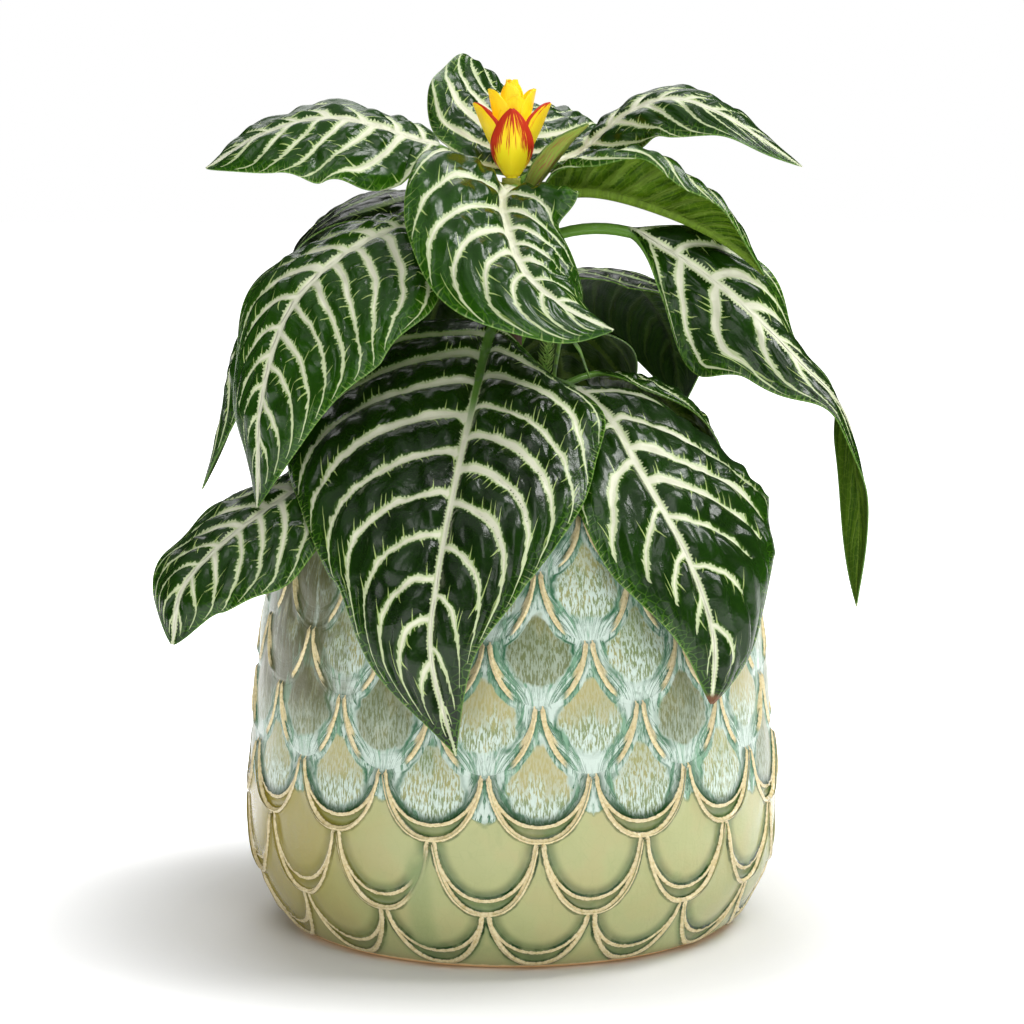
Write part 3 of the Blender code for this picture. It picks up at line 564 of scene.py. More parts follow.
def bladeSkin(leaf, rows, halfColumns, stalkRows):
    # a quilted blade: the sheet between two side veins stands up as |sin(pi phase)|^0.7, the
    # midrib lies in a groove exp(-(a/w)^2) and stands out below as a rounded rib
    x = np.linspace(0, 1, halfColumns + 1)
    x = 0.82 * x + 0.18 * x**2
    columns = mirrored(x)
    sheet, t, spread, run = bladeSheet(leaf, rows, columns, stalkRows)
    reach = np.abs(columns)[None, :] * np.ones_like(spread)
    aside = reach * spread
    edge = spread - aside
    count = leaf.get("veins", leafBuild["veins"])
    slant = leaf.get("slant", leafBuild["slant"])
    phases = [veinPhase(count, slant, t[:, None], reach, shift) for shift in (0.0, 0.45)]
    phase = np.where(columns[None, :] < 0, *phases)
    spacing = 1 / slopeOf(phase, sheet)
    normal = normalsOf(sheet)
    fade = np.clip(1 - t * 12, 0, 1)[:, None]
    fromRib = 1 - np.exp(-(aside / 3.0) ** 2)
    quilt = leaf.get("quilt", leafBuild["quilt"])
    pillow = np.abs(np.sin(np.pi * phase)) ** 0.7 * np.minimum(spacing, 14) * quilt
    pillow = pillow * fromRib * np.clip(edge / 5, 0, 1) * (1 - fade)
    pillow = pillow * np.clip(t / 0.06, 0, 1)[:, None]
    sway = np.sin(0.9 * run[:, None] / 7 + 2 * phase) + np.sin(aside * 0.31 + 1.7 * phase)
    bumps = np.sin(aside * 0.72 + 2.4 * phase + sway) * np.sin(np.pi * phase) ** 2
    crinkle = leafBuild["crinkle"] * min(quilt / leafBuild["quilt"], 1)
    pillow = pillow + (crinkle * bumps * np.clip(aside / 8, 0, 1) * np.clip(edge / 6, 0, 1)
                       * (1 - fade))
    groove = leafBuild["groove"] * np.exp(-(aside / leafBuild["grooveHalf"]) ** 2)
    groove = groove * (1 - fade) * np.clip(spread / 12, 0, 1)
    centre = sheet + normal * (pillow - groove)[..., None]
    thick = leaf.get("sheet", leafBuild["sheet"])
    full = leaf.get("full", leafBuild["stalkThick"])
    depth = fade * full * np.sqrt(1.02 - reach**2) + (1 - fade) * thick
    rib = leafBuild["ribHeight"] * (1 - t[:, None]) ** 0.8 * (1 - fade)
    rib = rib * np.exp(-(aside / leafBuild["ribWidth"]) ** 2) * full / leafBuild["stalkThick"]
    rib = rib * np.clip(spread / 8, 0, 1)
    top = centre + normal * (depth / 2)[..., None]
    under = centre - normal * (depth / 2 + rib)[..., None]
    points, faces, kinds = shellOf(top, under)
    signed = aside * np.sign(columns)[None, :]
    ones = np.ones_like(signed)
    paint = dict(
        veinPlace=np.stack([*phases, signed], -1),
        veinSize=np.stack([edge, run[:, None] * ones, np.minimum(spacing, 25)], -1),
        leafLook=np.stack([t[:, None] * ones, leaf.get("tone", leafBuild["tone"]) * ones,
                           leaf.get("green", -20) * ones], -1),
        leafMore=np.stack([leaf.get("bold", 1) * ones, leaf.get("dry", 0) * ones,
                           leaf.get("far", 0) * ones], -1))
    both = {name: np.concatenate([v, v[:, ::-1]], axis=1) for name, v in paint.items()}
    return points, faces, kinds, both


veinLook = dict(
    ivory=(0.77, 0.78, 0.60), rim=(0.36, 0.50, 0.14), spike=(0.48, 0.62, 0.20),
    net=(0.08, 0.21, 0.012), darkBlade=(0.004, 0.013, 0.0018), lightBlade=(0.018, 0.08, 0.002),
    stalk=(0.12, 0.26, 0.035), margin=(0.13, 0.27, 0.04), underDark=(0.012, 0.035, 0.006),
    underLight=(0.115, 0.235, 0.004), underStripe=(0.02, 0.06, 0.002), underVein=(0.24, 0.36, 0.05),
    bold=0.145, sideHalf=1.5, ribHalf=1.15, toothPitch=1.25, tooth=1.1, spikePitch=2.4,
    spikeLength=4.8, hairPitch=2.3, hairLength=5.0, wrinkle=5.5, dryTip=(0.16, 0.07, 0.03))


def leafPattern(tree):
    # the mask of the ivory veins and of their long thin spikes, and what else a leaf needs
    look = veinLook
    phaseLeft, phaseRight, side = painted(tree, "veinPlace")
    edge, run, spacing = painted(tree, "veinSize")
    t, tone, green = painted(tree, "leafLook")
    bold, dry, far = painted(tree, "leafMore")
    onRight = side.above(0.0)
    aside = abs(side)
    flat = vector(tree, run, side, tone * 40.0)
    sway = noise(tree, flat, 0.09, 2.0) - 0.5
    phase = phaseLeft + (phaseRight - phaseLeft) * onRight + sway * 0.35
    number = phase.round()
    offset = (phase - number) * spacing
    reach = aside / (aside + edge + 0.01)
    chance = dice(tree, number, onRight, tone * 10.0)
    close = (spacing / 9.0).least(1.0)
    half = (spacing * look["bold"] * close ** 0.6).least(look["sideHalf"])
    half = half * (0.75 + 0.4 * chance) * bold * t.step(0.3, 0.75, 1.0, 0.56)
    half = half * (1.15 - 0.35 * reach) * (1.0 - 0.5 * reach ** 2.5 * (1.0 - far.most(0.0)))
    # a leaf whose far is below zero has only short side veins towards its tip
    short = far.least(0.0) * t.step(0.45, 0.8, 0.0, 0.5)
    half = half * (reach - far.most(0.0) * 0.08 - short).fall(0.9, 1.0)
    half = half * number.above(0.5) * (aside + edge).step(2.0, 26.0, 0.35, 1.0)
    place = aside + run * 0.3

    def teeth(place, pitch, sharp, key):
        # how far a triangular tooth stands out here, from 0 to 1, and its die
        cell = (place / pitch).floor()
        die = dice(tree, cell, number * 2.0 + onRight, key)
        inside = place / pitch - cell + (die - 0.5) * (1.0 - 1.0 / sharp)
        peak = (1.0 - abs(inside * 2.0 - 1.0) * sharp).most(0.0)
        return peak, die

    upSide = offset.above(0.0)
    peak, die = teeth(place, look["toothPitch"], 1.0, upSide + tone)
    jag = noise(tree, vector(tree, place * 1.1, number * 3.0, offset * 0.5), 1.0, 3.0, 0.7)
    tooth = (peak * (die - 0.2).most(0.0) * 0.9 + (jag - 0.42).most(0.0) * 2.2) * look["tooth"]
    tooth = tooth * close * reach.step(0.8, 1.0, 1.0, 0.3)
    bent = place + 0.7 + sway * 2.0 + abs(offset) * (0.12 + chance * 0.25)
    point, luck = teeth(bent, look["spikePitch"], 4.0, upSide + tone + 3.0)
    luck = dice(tree, luck * 91.0, number, 5.0)
    spike = point * luck.step(0.45, 1.0) * look["spikeLength"] * (0.3 + close * 0.7)
    sideMask = (half + tooth - abs(offset)).step(-0.12, 0.12) * half.above(0.02)
    sideSpike = (half + spike - abs(offset)).step(-0.1, 0.14) * reach.step(0.9, 0.99, 1.0, 0.2)
    sideSpike = sideSpike * spike.step(0.2, 0.8) * half.step(0.05, 0.3)
    ribHalf = (look["ribHalf"] * (aside + edge).step(0.5, 9.0, 0.35, 1.0)
               * t.step(0.1, 0.85, 1.15, 0.8) * tone.step(0.2, 0.55, 1.0, 1.5))
    cell = (run / look["toothPitch"]).floor()
    wedge = 1.0 - abs((run / look["toothPitch"] - cell) * 2.0 - 1.0)
    ribTooth = wedge * dice(tree, cell, onRight, tone) * look["tooth"] * t.step(0.3, 0.9, 1.0, 0.5)
    ribMask = (ribHalf + ribTooth - aside).step(-0.12, 0.12)
    veins = sideMask.most(ribMask)
    # fine hairs stand in from the margin
    bowed = (run + sway * 3.0 + edge * 0.25) / look["hairPitch"]
    cell = bowed.floor()
    tall = dice(tree, cell, onRight, tone + 7.0) * look["hairLength"]
    hairs = (0.13 * (1.0 - edge / tall.most(0.1)) - abs(bowed - cell - 0.5)).step(-0.03, 0.06)
    hairs = hairs * (aside + edge).step(6.0, 14.0)
    netLines = cells(tree, vector(tree, run, side * 0.8, tone * 9.0), 0.36, "DISTANCE_TO_EDGE")
    return dict(veins=veins, spikes=sideSpike.most(hairs * 0.45), edge=edge, run=run, side=side,
                t=t, tone=tone, dry=dry, green=green, reach=reach, flat=flat,
                net=netLines.fall(0.0, 0.09), offset=offset, half=half, aside=aside, phase=phase,
                core=(half - 0.25 - abs(offset)).step(-0.2, 0.35).most(
                    (ribHalf - 0.2 - aside).step(-0.2, 0.4)))


def leafTop():
    # dark glossy quilted blade with ivory veins, a pale net near the margin and a pale margin
    tree, shader = newMaterial("leafTop")
    look, p = veinLook, leafPattern(tree)
    cloud = noise(tree, p["flat"], 0.06, 3.0)
    light = (p["tone"] * 0.9 + (cloud - 0.5) * 0.6 + p["reach"].step(0.65, 1.0) * 0.3)
    blade = mixed(tree, light.most(0.0).least(1.0), look["darkBlade"], look["lightBlade"])
    nearMargin = p["edge"].step(0.0, 9.0, 0.6, 0.03)
    # on a leaf whose tone is below zero the pale net and the veins are dimmed: painted shade for a
    # leaf that stands in shade
    blade = mixed(tree, p["net"] * nearMargin * p["tone"].step(-0.3, 0.1), blade, look["net"])
    halo = (abs(p["offset"]) - p["half"]).fall(0.0, 1.5, 0.4) * p["half"].step(0.1, 0.6)
    blade = mixed(tree, halo, blade, look["net"])
    blade = mixed(tree, p["edge"].fall(0.2, 0.55, 0.8), blade, look["margin"])
    blade = mixed(tree, p["spikes"] * 0.8, blade, look["spike"])
    # veins dimmed as painted shade where the leaf's tone is below zero
    shown = p["tone"].step(-0.35, 0.1, 0.22, 1.0)
    blade = mixed(tree, p["veins"] * shown, blade, look["rim"])
    blade = mixed(tree, p["veins"] * (0.45 + p["core"] * 0.55) * shown, blade, look["ivory"])
    stalk = (p["green"] - p["run"]).step(-12.0, 12.0) * (p["aside"] + p["run"] * 0.025).fall(
        1.9, 2.5)
    stalk = stalk.most(p["run"].fall(-1.0, 1.5))
    blade = mixed(tree, stalk, blade, look["stalk"])
    dry = p["t"].step(0.965, 0.982) * p["dry"]
    grain = noise(tree, p["flat"], 1.6, 3.0)
    finished(tree, shader, mixed(tree, dry, blade, look["dryTip"]),
             0.17 + grain * 0.12 + p["veins"] * 0.25, Specular_IOR_Level=0.3)
    # wrinkles run along the side veins, and the veins themselves lie in creases
    folds = noise(tree, vector(tree, p["phase"] * 1.6, p["aside"] * 0.11, p["tone"] * 9.0), 1.0,
                  1.5, 0.5, 0.9)
    puckers = cells(tree, vector(tree, p["run"] * 0.8, p["side"] * 0.8, p["tone"] * 5.0),
                    1 / look["wrinkle"])
    crease = abs(p["offset"]).step(0.3, 2.6) * 0.5
    bumped(tree, shader, (folds * 1.6 - puckers * 0.8) * (0.3 + crease * 1.4) + crease
           + grain * 0.12, 0.75)


def leafUnder():
    # the underside: yellow green, finely striped along the side veins, with raised paler veins
    tree, shader = newMaterial("leafUnder")
    look, p = veinLook, leafPattern(tree)
    cloud = noise(tree, p["flat"], 0.08, 3.0)
    bright = (p["tone"] * 1.7 + (cloud - 0.5) * 0.4).most(0.0).least(1.0)
    base = mixed(tree, bright, look["underDark"], look["underLight"])
    stripes = noise(tree, vector(tree, p["phase"] * 7.0, p["aside"] * 0.09, p["tone"] * 9.0), 1.0,
                    3.0, 0.6)
    base = mixed(tree, stripes.fall(0.36, 0.62, 0.75), base, look["underStripe"])
    base = mixed(tree, p["net"] * p["tone"].step(0.0, 0.5, 0.02, 0.2), base, look["underVein"])
    base = mixed(tree, p["veins"] * (0.2 + p["tone"] * 0.4), base, look["underVein"])
    base = mixed(tree, p["edge"].fall(0.25, 0.65, 0.7), base, look["margin"])
    finished(tree, shader, mixed(tree, p["run"].fall(-1.0, 1.5), base, look["stalk"]),
             0.36 + cloud * 0.15, Specular_IOR_Level=0.12)
    grain = noise(tree, p["flat"], 1.4, 3.0)
    bumped(tree, shader, stripes * 1.5 + p["half"].step(0.1, 0.6) * abs(p["offset"]).fall(
        0.0, 1.8) + grain * 0.3, 0.5)


def makeLeaves():
    # one blade for each row of the table; those of the back have a coarser grid
    leafTop()
    leafUnder()
    for name, leaf in leaves.items():
        finer = 1.0 if abs(leaf["heading"]) < 100 else leafBuild["backDetail"]
        points, faces, kinds, paint = bladeSkin(
            leaf, round(leafBuild["rows"] * finer), round(leafBuild["halfColumns"] * finer),
            leafBuild["stalkRows"])
        madePiece("look_" + name, points, faces, ("leafTop", "leafUnder"), name, "zebra_leaf",
                  kinds, paint)
    print("leaves done:", len(leaves))


# The pot

pot = dict(
    profile=((78, 0), (83, 4), (89, 14), (93.3, 25), (95, 47), (93.7, 69), (92.1, 89),
             (90.9, 103), (89.5, 113), (86, 135), (82, 152), (79, 160)),  # radius, height
    height=160.0, wall=6.0, floor=8.0, innerHeights=(14.0, 50.0, 104.0, 158.0),
    around=16, feet=(2.5, 22.7, 48.5, 71.0, 94.5, 116.0, 139.5), top=158.0, footRise=1.2,
    hornGap=1.5, hornSpan=0.925, turn=5.65, roundness=(2.2, 0.62), arcApart=5.0,
    columns=640, ridges=((1.25, 0.85), (1.05, 0.7)),  # outer and inner: height, half width
    # from this row up the glaze has buried the arcs' feet and all but a part of the inner arcs
    covered=3, buried=0.97, buriedTo=(6.5, 9.5), coveredInner=0.15,
    groove=0.35, swell=0.7, swellWidth=9, wobble=(0.16, 0.1),
    bandRows=(0, 0.025, 0.05, 0.08, 0.115, 0.155, 0.195, 0.235, 0.29, 0.38, 0.52, 0.7, 0.86,
              0.95, 0.999),
    seam=dict(angle=-19.5, foot=8.0, head=46.0, half=4.5),
    # what the surface holds for the glaze, under the base and inside the rim
    plainPaint=dict(potArc=((12, 20, -30), (12, 20, -30)), potRow=((0, 10, -9), (0, 10, -5)),
                    potScale=((1, 0.5, 0), (1, 0.5, 0))))
glaze = dict(
    celadon=(0.455, 0.475, 0.212), shade=(0.25, 0.32, 0.125), poolAndShade=(0.006, 0.045, 0.003),
    ridge=(0.92, 0.795, 0.49), ridgeDark=(0.70, 0.56, 0.25), clay=(0.95, 0.66, 0.36),
    clayGlow=0.07, white=(0.64, 0.76, 0.68), mint=(0.20, 0.39, 0.25), streak=(0.02, 0.13, 0.05),
    olive=(0.38, 0.38, 0.15), moss=(0.22, 0.29, 0.12), stainAndShadow=(0.10, 0.10, 0.035),
    flowFoot=53.0,  # how high the upper glaze ends
    fawn=(0.50, 0.44, 0.20), gloom=(0.11, 0.125, 0.045), tawnyAndShade=(0.33, 0.25, 0.025))


def potRadius(height):
    # the outer wall's radius at a height, along the profile's smooth curve
    curve = smoothCurve(np.array(pot["profile"], float))
    return np.interp(height, curve[:, 1], curve[:, 0])


def insideRadius(height):
    # the outer radius less the wall, read evenly between a few rings
    rings = np.array(pot["innerHeights"])
    return np.interp(height, rings, potRadius(rings) - pot["wall"])


scaleTurn = 2 * math.pi / pot["around"]  # one scale's share of the turn


def rowTurn(row):
    # where a row's first scale stands: every second row is half a scale further round
    return math.radians(pot["turn"]) + (row % 2) * scaleTurn / 2


def fromMiddle(row, angle):
    # how far round from the middle of the row's nearest scale
    return (angle - rowTurn(row) + scaleTurn / 2) % scaleTurn - scaleTurn / 2


def scallop(row, angle, lift=0.0):
    # a row's lower edge: foot + rise * (1 - (1 - s^2.2)^0.62), s the share of the half width
    feet = (*pot["feet"], pot["top"])
    if row < 0:
        return np.full_like(angle, pot["footRise"])
    if row >= len(pot["feet"]):
        return np.full_like(angle, pot["top"])
    share = np.abs(fromMiddle(row, angle)) / (scaleTurn / 2)
    share = np.clip(share / pot["hornSpan"], 0, 1)
    wide, steep = pot["roundness"]
    arc = 1 - (1 - share**wide) ** steep
    foot = feet[row] + lift
    return foot + (feet[row + 1] - pot["hornGap"] - foot) * arc


def arcDistance(row, angle, height, radius, lift):
    # distance on the unrolled wall to the nearest arc of a row, above zero inside its scale
    offset = fromMiddle(row, angle)
    bend = np.sin(np.linspace(-math.pi / 2, math.pi / 2, 57)) * scaleTurn / 2 * pot["hornSpan"]
    line = scallop(row, bend + rowTurn(row), lift)
    best = np.full_like(offset, 1e9)
    for a, b, c, d in zip(bend[:-1], line[:-1], bend[1:], line[1:]):
        px, pz = (offset - a) * radius, height - b
        qx, qz = (c - a) * radius, d - b
        part = np.clip((px * qx + pz * qz) / (qx * qx + qz * qz), 0, 1)
        best = np.minimum(best, np.hypot(px - part * qx, pz - part * qz))
    within = np.abs(offset) < scaleTurn / 2 * pot["hornSpan"]
    within &= height > scallop(row, angle, lift)
    return np.where(within, best, -best)


def potWall():
    # rows of points follow the scallops; raised arcs are height * exp(-(distance/half)^2) and
    # each scale's face swells a little towards its middle
    angle = turnsOf(pot["columns"])
    levels = [(row, part) for row in range(-1, len(pot["feet"])) for part in pot["bandRows"]]
    luck = np.random.default_rng(3).random((len(pot["feet"]) + 1, pot["around"]))
    rows, arcs, places, scales = [], [], [], []
    seam = pot["seam"]
    for row, part in levels:
        low, high = scallop(row, angle), scallop(row + 1, angle)
        height = low + (high - low) * part
        radius = potRadius(height)
        outer = inner = after = np.full_like(angle, -30.0)
        if row >= 0:
            outer = arcDistance(row, angle, height, radius, 0.0)
            inner = arcDistance(row, angle, height, radius, pot["arcApart"])
        if row + 1 < len(pot["feet"]):
            after = arcDistance(row + 1, angle, height, radius, 0.0)
        apart = np.degrees((angle - math.radians(seam["angle"]) + math.pi) % (2 * math.pi)
                           - math.pi) / 180 * math.pi * radius
        keep = 1 - (np.exp(-(apart / seam["half"]) ** 4)
                    * np.clip((height - seam["foot"]) / 4, 0, 1)
                    * np.clip((seam["head"] - height) / 4, 0, 1))
        slow, quick = pot["wobble"]
        wobble = 1 + slow * np.sin(9 * angle + row) + quick * np.sin(23 * angle + 0.3 * height)
        (tall, wide), (small, thin) = pot["ridges"]
        own = fromMiddle(row, angle)
        side = np.abs(own) * radius
        # the glaze hides an arc's foot, up to this far to the side of its middle
        first, last = pot["buriedTo"]
        buried = [pot["buried"] * (1 - np.clip((s - first) / (last - first), 0, 1))
                  * (r >= pot["covered"])
                  for s, r in ((side, row), (scaleTurn / 2 * radius - side, row + 1))]
        relief = np.maximum(tall * (1 - buried[0]) * np.exp(-(outer / wide) ** 2),
                            tall * (1 - buried[1]) * np.exp(-(after / wide) ** 2))
        small = small * (pot["coveredInner"] if row >= pot["covered"] else 1)
        relief = np.maximum(relief, small * np.exp(-(inner / thin) ** 2)) * wobble * keep
        groove = -pot["groove"] * np.clip(outer / 1.5, 0, 1) * np.clip(-inner / 1.5, 0, 1) * keep
        groove = groove * (row < pot["covered"])
        swell = pot["swell"] * np.clip(inner / pot["swellWidth"], 0, 1) ** 0.8
        swell = swell * (1 - np.exp(-(after / 5) ** 2) * (row + 1 >= pot["covered"]))
        fade = np.clip((height - 0.6) / 1.5, 0, 1) * np.clip((pot["top"] - height) / 1.0, 0, 1)
        reach = radius + (relief + groove + swell) * fade
        foot = (0.0, *pot["feet"])[row + 1]
        rows.append(ringAt(angle, reach, height))
        arcs.append(np.stack([inner, outer, after], -1))
        places.append(np.stack([side, height - foot, np.full_like(angle, row)], -1))
        count = np.round((angle - rowTurn(row) - own) / scaleTurn).astype(int) % pot["around"]
        scales.append(np.stack([keep, luck[row + 1, count], 0 * keep], -1))
    return angle, rows, (arcs, places, scales)


def makePot():
    # the scaled wall, a half round rim, the wall inside and the floor, as rings in one skin
    angle, rows, paints = potWall()
    mouth = potRadius(pot["height"] - 2.0)
    turn = np.linspace(0, math.pi, 13)
    middle, half = mouth - pot["wall"] / 2, pot["wall"] / 2
    rim = [(middle + half * math.cos(a), pot["height"] - 2.0 + 2.0 * math.sin(a)) for a in turn]
    down = [(insideRadius(z), z) for z in np.linspace(156, 14, 12)]
    bowl = [(insideRadius(14.0) - 5, pot["floor"])]
    base = [(pot["profile"][0][0] - 1.2, 0.0), (pot["profile"][0][0] - 0.2, 0.4)]

    before = [ringAt(angle, *spot) for spot in base]
    after = [ringAt(angle, *spot) for spot in rim + down + bowl]
    paint = {}
    for (name, (under, over)), own in zip(pot["plainPaint"].items(), paints):
        flat = np.ones((len(angle), 1))
        rings = [under * flat] * len(before) + own + [over * flat] * len(after)
        paint[name] = np.concatenate([*rings, [under, over]])
    points, faces = closedRings(np.stack(before + rows + after), (0, 0, 0),
                                (0, 0, pot["floor"]))
    stonewareGlaze()
    madePiece("look_pot", points, faces, ("stonewareGlaze",), "pot", "glazed_stoneware",
              paint=paint)
    print("pot done:", len(faces), "faces")


def stonewareGlaze():
    # a celadon glaze that pools dark beside raised arcs, with painted shade just under each ridge,
    # on the left side and as leaf shadow at the upper left; over it from the third row up a white
    # and green glaze has run down round each scale's olive heart, with the horns left bare
    tree, shader = newMaterial("stonewareGlaze")
    g = glaze
    inner, outer, after = painted(tree, "potArc")
    side, up, row = painted(tree, "potRow")
    keep, luck, _ = painted(tree, "potScale")
    spot = objectPlace(tree)
    x, y, z = parts(tree, spot)
    high = z / mm
    soft = noise(tree, spot, 60, 3.0)
    fine = noise(tree, spot, 900, 3.0)
    wander = noise(tree, spot, 170, 3.0) - 0.5
    spread = noise(tree, vector(tree, x * 240.0, y * 240.0, z * 52.0), 1.0, 4.0, 0.62, 0.5)
    thread = noise(tree, vector(tree, x * 1700.0, y * 1700.0, z * 330.0), 1.0, 3.0, 0.6)
    middle = side.fall(8.0, 17.0)

    # the lower glaze, greener towards the arcs and dark where it has run up against them, with a
    # thin line of painted contact shade just under each ridge
    lowest = (row * -1.0).above(0.5)
    ground = (inner + wander * 6.0).step(0.3, 5.0).most(lowest * (after * -1.0).step(0.8, 3.5))
    base = mixed(tree, ground * (0.75 + soft * 0.5), g["shade"], g["celadon"])
    base = mixed(tree, (spread - 0.5).step(0.02, 0.3) * 0.25, base, g["shade"])
    base = mixed(tree, soft.step(0.42, 0.66) * 0.45, base, g["fawn"])
    edgeShake = wander * 1.2
    onInner = (inner + edgeShake).fall(1.3, 2.3).most(
        inner.fall(1.6, 5.4, 0.6)) * inner.above(0.0)
    inGroove = (inner * -1.0).above(0.0)
    onOuter = (outer + edgeShake).step(1.2, 2.0, 1.0, 0.42) * outer.above(0.0) * inGroove
    # just under each ridge a thin dark line of painted contact shade
    under = (after + edgeShake).step(-1.9, -1.3) * (0.6 + side.fall(1.0, 3.0, 0.4))
    uneven = 0.85 + (wander * 2.5).most(-0.4).least(0.15)
    pooledAndShaded = (onInner * (0.7 + middle * 0.3)).most(onOuter * (0.6 + middle * 0.3)).most(under)
    base = mixed(tree, pooledAndShaded * keep * uneven, base, g["poolAndShade"])
    # browner and darker towards the left: partly the glaze's tawny tone, partly painted shade on
    # the side away from the light
    base = mixed(tree, x.fall(-0.09, -0.03, 0.85), base, g["tawnyAndShade"])
    smear = (1.0 - keep) * (0.35 + thread * 0.3)
    base = mixed(tree, smear, base, g["shade"])
    crackle = cells(tree, spot, 190, "DISTANCE_TO_EDGE").fall(0.0, 0.022)
    base = mixed(tree, crackle * 0.14, base, g["shade"])

    # where the upper glaze has run to
    third = row.above(1.5) * (2.5 - row).above(0.0)
    second = row.above(0.5) * (1.5 - row).above(0.0)
    flow = third * inner.above(0.25).most((-0.9 - outer).above(0.0))
    tongue = high - side ** 2.0 * 0.14 + wander * 9.0 - luck * 7.0
    flow = flow + second * tongue.step(g["flowFoot"], g["flowFoot"] + 1.0)
    drip = second * abs(tongue - g["flowFoot"] - 0.2).fall(0.1, 1.0, 0.8)
    flow = flow.most(row.above(2.5)).least(1.0)

    # each scale's heart, and the milky glaze that has run down round it in folds
    heart = ((side / (11.6 - (up - 17.0).most(0.0) * 0.28)) ** 2.0
             + ((up - 18.6 - luck * 1.5) / 12.6) ** 2.0 + wander * 1.0)
    heart = heart.most((after + 2.8) * 0.45 + 1.0 + wander)
    inside = heart.fall(0.8, 1.1)
    lane = side / up.step(-2.0, 24.0, 0.2, 1.0)
    drape = noise(tree, vector(tree, lane * 0.42 + wander * 1.2, up * 0.055, luck * 20.0 + row),
                  1.0, 4.0, 0.62, 0.3)
    drop = side.fall(1.5, 8.0) * up.fall(3.0, 12.0)
    drop = drop.most(side.step(12.0, 17.0) * up.step(14.0, 24.0) * up.fall(26.0, 34.0))
    milk = (drape + spread - 1.0 + drop * 0.14 + 0.03).step(-0.12, 0.12)
    milky = mixed(tree, milk, g["mint"], g["white"])
    rimmed = abs(heart - 1.15).fall(0.0, 0.34) * spread.step(0.36, 0.5)
    rimmed = rimmed * side.step(2.0, 9.0, 0.3, 1.0) * soft.step(0.38, 0.55, 0.35, 1.0)
    folded = abs(drape - 0.43).fall(0.0, 0.05) * spread.step(0.36, 0.54)
    threads = abs(spread - 0.44).fall(0.0, 0.045) * thread.step(0.35, 0.55)
    legs = abs(outer).fall(1.0, 2.4) * side.step(7.0, 10.0)
    legs = legs.most(abs(after).fall(1.0, 2.4) * side.fall(8.0, 11.0))
    streaks = rimmed.most(folded).most(threads * 0.8).most(legs * thread.step(0.3, 0.55) * 0.9)
    streaks = streaks * (1.0 - drop * 0.4)
    milky = mixed(tree, streaks, milky, g["streak"])
    core = mixed(tree, (spread + soft - 1.0 + (up - 22.0) * -0.012).step(-0.12, 0.12), g["olive"],
                 g["moss"])
    plain = luck.step(0.6, 0.8) * (up + (spread - 0.5) * 30.0).step(14.0, 22.0)
    core = mixed(tree, plain * 0.7, core, g["fawn"])
    gloomy = luck.fall(0.22, 0.3) * (0.55 + spread * 0.6)
    core = mixed(tree, gloomy * 0.75, core, g["gloom"])
    veil = thread.step(0.42, 0.56) * (0.42 + (22.0 - up).step(-10.0, 9.0) * 0.55)
    veil = veil * (1.0 - plain * 0.6) * (1.0 - gloomy * 0.75)
    core = mixed(tree, veil, core, g["white"])
    upper = mixed(tree, inside, milky, core)
    dip = (inner + (thread - 0.5) * 3.0).fall(0.6, 5.0) * inner.above(0.0)
    upper = mixed(tree, dip * (0.5 + middle * 0.5) * third, upper, g["poolAndShade"])
    # a darker patch at the upper left: partly a stain, partly painted shadow of the leaves above
    stainAndShadow = ((x + wander * 0.02).fall(-0.068, -0.052) * y.fall(-0.035, 0.0)
             * high.step(80.0, 96.0))
    upper = mixed(tree, stainAndShadow * (0.55 + spread.step(0.35, 0.55) * 0.4), upper, g["stainAndShadow"])
    colour = mixed(tree, flow, base, upper)
    colour = mixed(tree, drip * 0.4, colour, g["streak"])

    # pale arcs; over the upper rows only the horns are bare
    ragged = (fine - 0.5) * 0.5
    arc = (abs(outer) + ragged).fall(0.8, 1.0)
    arc = arc.most((abs(inner) + ragged).fall(0.55, 0.75) * (2.5 - row).above(0.0).most(
        side.step(11.0, 13.0) * 0.85))
    bare = 1.0 - row.above(2.5) * (1.0 - side.step(8.0, 10.5) * (1.0 - side.step(17.6, 18.4)))
    arcUp = (abs(after) + ragged).fall(0.8, 1.0)
    bareUp = 1.0 - row.above(1.5) * side.step(7.6, 10.0)
    tan = mixed(tree, fine.step(0.3, 0.8), g["ridge"], g["ridgeDark"])
    shown = (arc * bare).most(arcUp * bareUp) * keep * row.above(-2.0)
    colour = mixed(tree, shown, colour, tan)
    clayEdge = (high + wander * 1.6).fall(1.4, 2.2)
    colour = mixed(tree, clayEdge, colour, g["clay"])
    # the bare clay edge also glows a little by clayGlow: painted light on an edge that the floor
    # leaves in contact shade
    finished(tree, shader, colour, 0.16 + fine * 0.12 + clayEdge * 0.5 + flow * 0.1,
             Emission_Color=(*g["clay"], 1.0), Emission_Strength=clayEdge * g["clayGlow"],
             Specular_IOR_Level=0.35, Coat_Weight=0.18, Coat_Roughness=0.08)
    bumped(tree, shader, (shown - pooledAndShaded * 0.3) * 1.4 + soft * 1.2 + fine * 0.25 + spread * 0.4
           + drape * flow * 0.3, 0.4)


# Soil, stem, flower head and weeds

